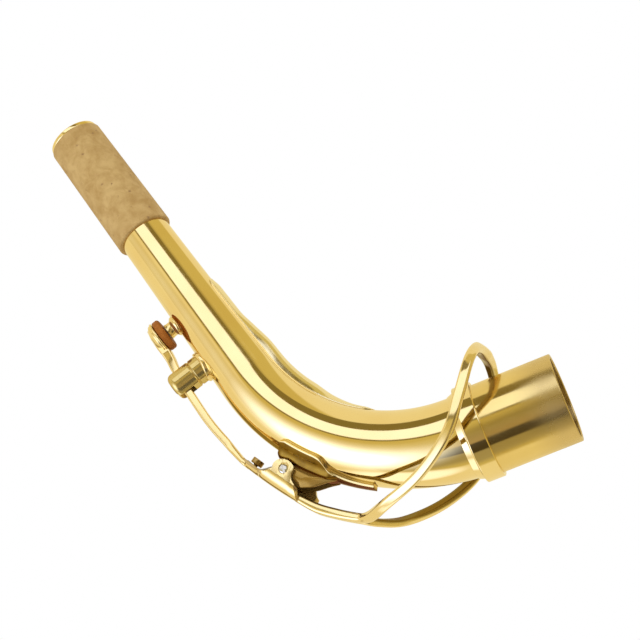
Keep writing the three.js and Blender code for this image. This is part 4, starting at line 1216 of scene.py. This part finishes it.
def spring_screw():
    seat = saddle_back(SPRING_SCREW_OFFSET) - SADDLE_SHEET
    under = seat - FIT - SPRING_THICKNESS - FIT
    face = under - SPRING_SCREW_HEAD_HEIGHT
    head, shank = SPRING_SCREW_HEAD / 2, SPRING_SCREW_DIAMETER / 2
    station = PIVOT_STATION + SPRING_SCREW_OFFSET
    rows = [[0, face], [head, face], [head, under], [shank, under], [shank, seat + 0.4], [0, seat + 0.4]]
    made = revolved("spring_screw_skin", eased(rows, 0.25, 4), standing(station), EAR_HOLE_SIDES)
    cut_slot(made, over(station, face), axes_at(station), (4 * head, 2 * SCREW_SLOT_DEPTH, SCREW_SLOT_WIDTH))
    wear(made, screw_brass, "spring_screw", "octave_key", sharp=35)


for make in (tube, tenon, collar, cork, tip_ring, brace, pip, guide_foot, guide_post, plate):
    make()
lug("lug_near_skin", -1, "saddle_lug_near")
lug("lug_far_skin", 1, "saddle_lug_far")
for make in (screw, saddle, arm, cup, pad, ring, spring_screw):
    make()

for node, finish in (("leaf_spring", blued), ("pad_backing", card)):
    for held_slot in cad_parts[node].material_slots:
        held_slot.material = finish


# Studio

FLOOR_LEVEL = -120
FLOOR_RADIUS = 350


@material("floor")
def floor_paint(nodes):
    return dict(Base_Color=nodes.mix(nodes.noise(nodes.place(), 12, 3), (0.86, 0.86, 0.86), (0.9, 0.9, 0.9)),
                Roughness=0.9)


def floor():
    rows = eased(rectangle(0, FLOOR_RADIUS, -4, 0), 3, 4)
    made = revolved("floor", rows, lambda radius, angle, height: upright(radius, angle, height + FLOOR_LEVEL))
    made.data.materials.append(floor_paint)
    made.visible_glossy = False
    made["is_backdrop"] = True


floor()


# Colours of the surroundings that the brass shows, from the sharp panels to what lies behind it
WARM = (0.656, 0.52, 0.17)
MILD = (0.73, 0.61, 0.28)
PALE = (0.90, 0.78, 0.46)
AMBER = (0.27, 0.17, 0.03)
SIDE_BOX = (1.9, 2.1, 2.7)
LINE = (0.28, 0.22, 0.07)
LOW_BOX = (1.3, 1.3, 1.3)
TOP_BOX = (1.28, 1.28, 1.28)
FLAG = (0.24, 0.18, 0.05)
# The dark room in front, from below (0) to above (1)
CORE = [(0.03, (0.60, 0.48, 0.18)), (0.075, (0.40, 0.33, 0.15)), (0.17, (0.38, 0.31, 0.14)),
        (0.19, (0.07, 0.05, 0.02)), (0.32, (0.07, 0.05, 0.02)), (0.35, (0.42, 0.30, 0.12)),
        (0.50, (0.36, 0.28, 0.11)), (0.58, (0.20, 0.15, 0.05))]
EVEN_LOW = (0.75, 0.74, 0.72)
EVEN_HIGH = (1.15, 1.15, 1.13)


def studio(right, up, back):
    """Soft boxes and dark flags as seen from the part, for its reflections, and even light beside."""
    world = bpy.data.worlds.new("studio")
    bpy.context.scene.world = world
    world.use_nodes = True
    nodes = Nodes(world.node_tree)
    toward = nodes.add("ShaderNodeTexCoord").outputs["Generated"]

    def part(axis):
        dot = nodes.add("ShaderNodeVectorMath", {0: toward, 1: tuple(axis)}, operation="DOT_PRODUCT")
        return dot.outputs["Value"]

    def mask(*limits):
        """Where each value has gone smoothly from its first limit to its second."""
        result = None
        for value, low, high in limits:
            ends = {"Value": value, "From Min": low, "From Max": high}
            share = nodes.add("ShaderNodeMapRange", ends, interpolation_type="SMOOTHSTEP").outputs["Result"]
            result = share if result is None else nodes.math("MULTIPLY", result, share)
        return result

    r, u, b = part(right), part(up), part(back)
    leaning, crest, flag_side = nodes.plus(b, r, 0.8), nodes.plus(u, r, -0.15), nodes.plus(b, r, -0.75)
    height = nodes.add("ShaderNodeMath", {0: u, 1: 0.5, 2: 0.5}, operation="MULTIPLY_ADD").outputs[0]
    edge_on = part((right * -0.45 + up * -0.45 + back * -0.77).normalized())
    low = part((right * -0.2 + up * -0.98).normalized())
    side = part((right * -0.72 + up * -0.42 + back * 0.55).normalized())
    glow = nodes.add("ShaderNodeMapRange", {"Value": side, "From Min": 0.68, "From Max": 0.97})
    # Warm in front and pale behind a line that leans with the picture, then each layer over the last
    look = nodes.mix(mask((leaning, 0.0, -0.1)), WARM, PALE)
    for share, color in (
        (mask((b, 0.0, 0.08), (r, -0.4, -0.6), (u, 0.35, 0.2)), MILD),
        (mask((u, -0.5, -0.7), (b, 0.32, 0.2)), PALE),
        (mask((edge_on, 0.93, 0.97), (u, -0.24, -0.32)), AMBER),
        (mask((b, 0.2, 0.45), (r, -0.42, -0.22), (r, 0.6, 0.4)), nodes.ramp(height, CORE)),
        (nodes.math("POWER", glow.outputs["Result"], 2.9), SIDE_BOX),
        (mask((low, 0.93, 0.98)), LOW_BOX),
        (mask((u, 0.40, 0.43), (u, 0.5, 0.48), (b, 0.1, 0.25), (r, 0.45, 0.3)), LINE),
        (mask((u, 0.46, 0.5), (crest, 0.895, 0.88), (b, 0.1, 0.25), (r, -0.85, -0.7),
              (r, 0.45, 0.3)), TOP_BOX),
        (mask((crest, 0.875, 0.89), (flag_side, 0.24, 0.29)), FLAG),
    ):
        look = nodes.mix(share, look, color)

    path = nodes.add("ShaderNodeLightPath")
    even = nodes.mix(mask((nodes.math("SUBTRACT", u, r), -0.8, 1.2)), EVEN_LOW, EVEN_HIGH)
    seen = nodes.mix(path.outputs["Is Diffuse Ray"], look, even)
    seen = nodes.mix(path.outputs["Is Camera Ray"], seen, WHITE)
    light = nodes.add("ShaderNodeBackground", {"Color": seen, "Strength": 1.0})
    nodes.add("ShaderNodeOutputWorld", {"Surface": light.outputs[0]})


bpy.context.scene.view_settings.view_transform = "Standard"


# Camera

CAMERA_PLACE = (-190.65, -576.59, -56.27)
CAMERA_AZIMUTH = radians(-22.377)
CAMERA_ELEVATION = radians(-8.135)
CAMERA_ROLL = radians(-112.292)
FOCAL_PIXELS = 2306.4
IMAGE_WIDTH = 640
SENSOR = 36.0


def camera():
    a, e, roll = CAMERA_AZIMUTH, CAMERA_ELEVATION, CAMERA_ROLL
    back = Vector((sin(a) * cos(e), -cos(a) * cos(e), sin(e)))
    level = Vector((cos(a), sin(a), 0))
    above = back.cross(level)
    right = level * cos(roll) + above * sin(roll)
    up = above * cos(roll) - level * sin(roll)
    data = bpy.data.cameras.new("camera")
    data.sensor_width = SENSOR
    data.lens = SENSOR * FOCAL_PIXELS / IMAGE_WIDTH
    data.clip_start = 0.01
    data.clip_end = 20
    made = bpy.data.objects.new("camera", data)
    bpy.context.scene.collection.objects.link(made)
    turn = Matrix((right, up, back)).transposed().to_4x4()
    made.matrix_world = Matrix.Translation(Vector(CAMERA_PLACE) * METRE) @ turn
    bpy.context.scene.camera = made
    return right, up, back


studio(*camera())

boxes = [[[float(c) for c in corner] for corner in both] for both in (CAD_BOX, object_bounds())]
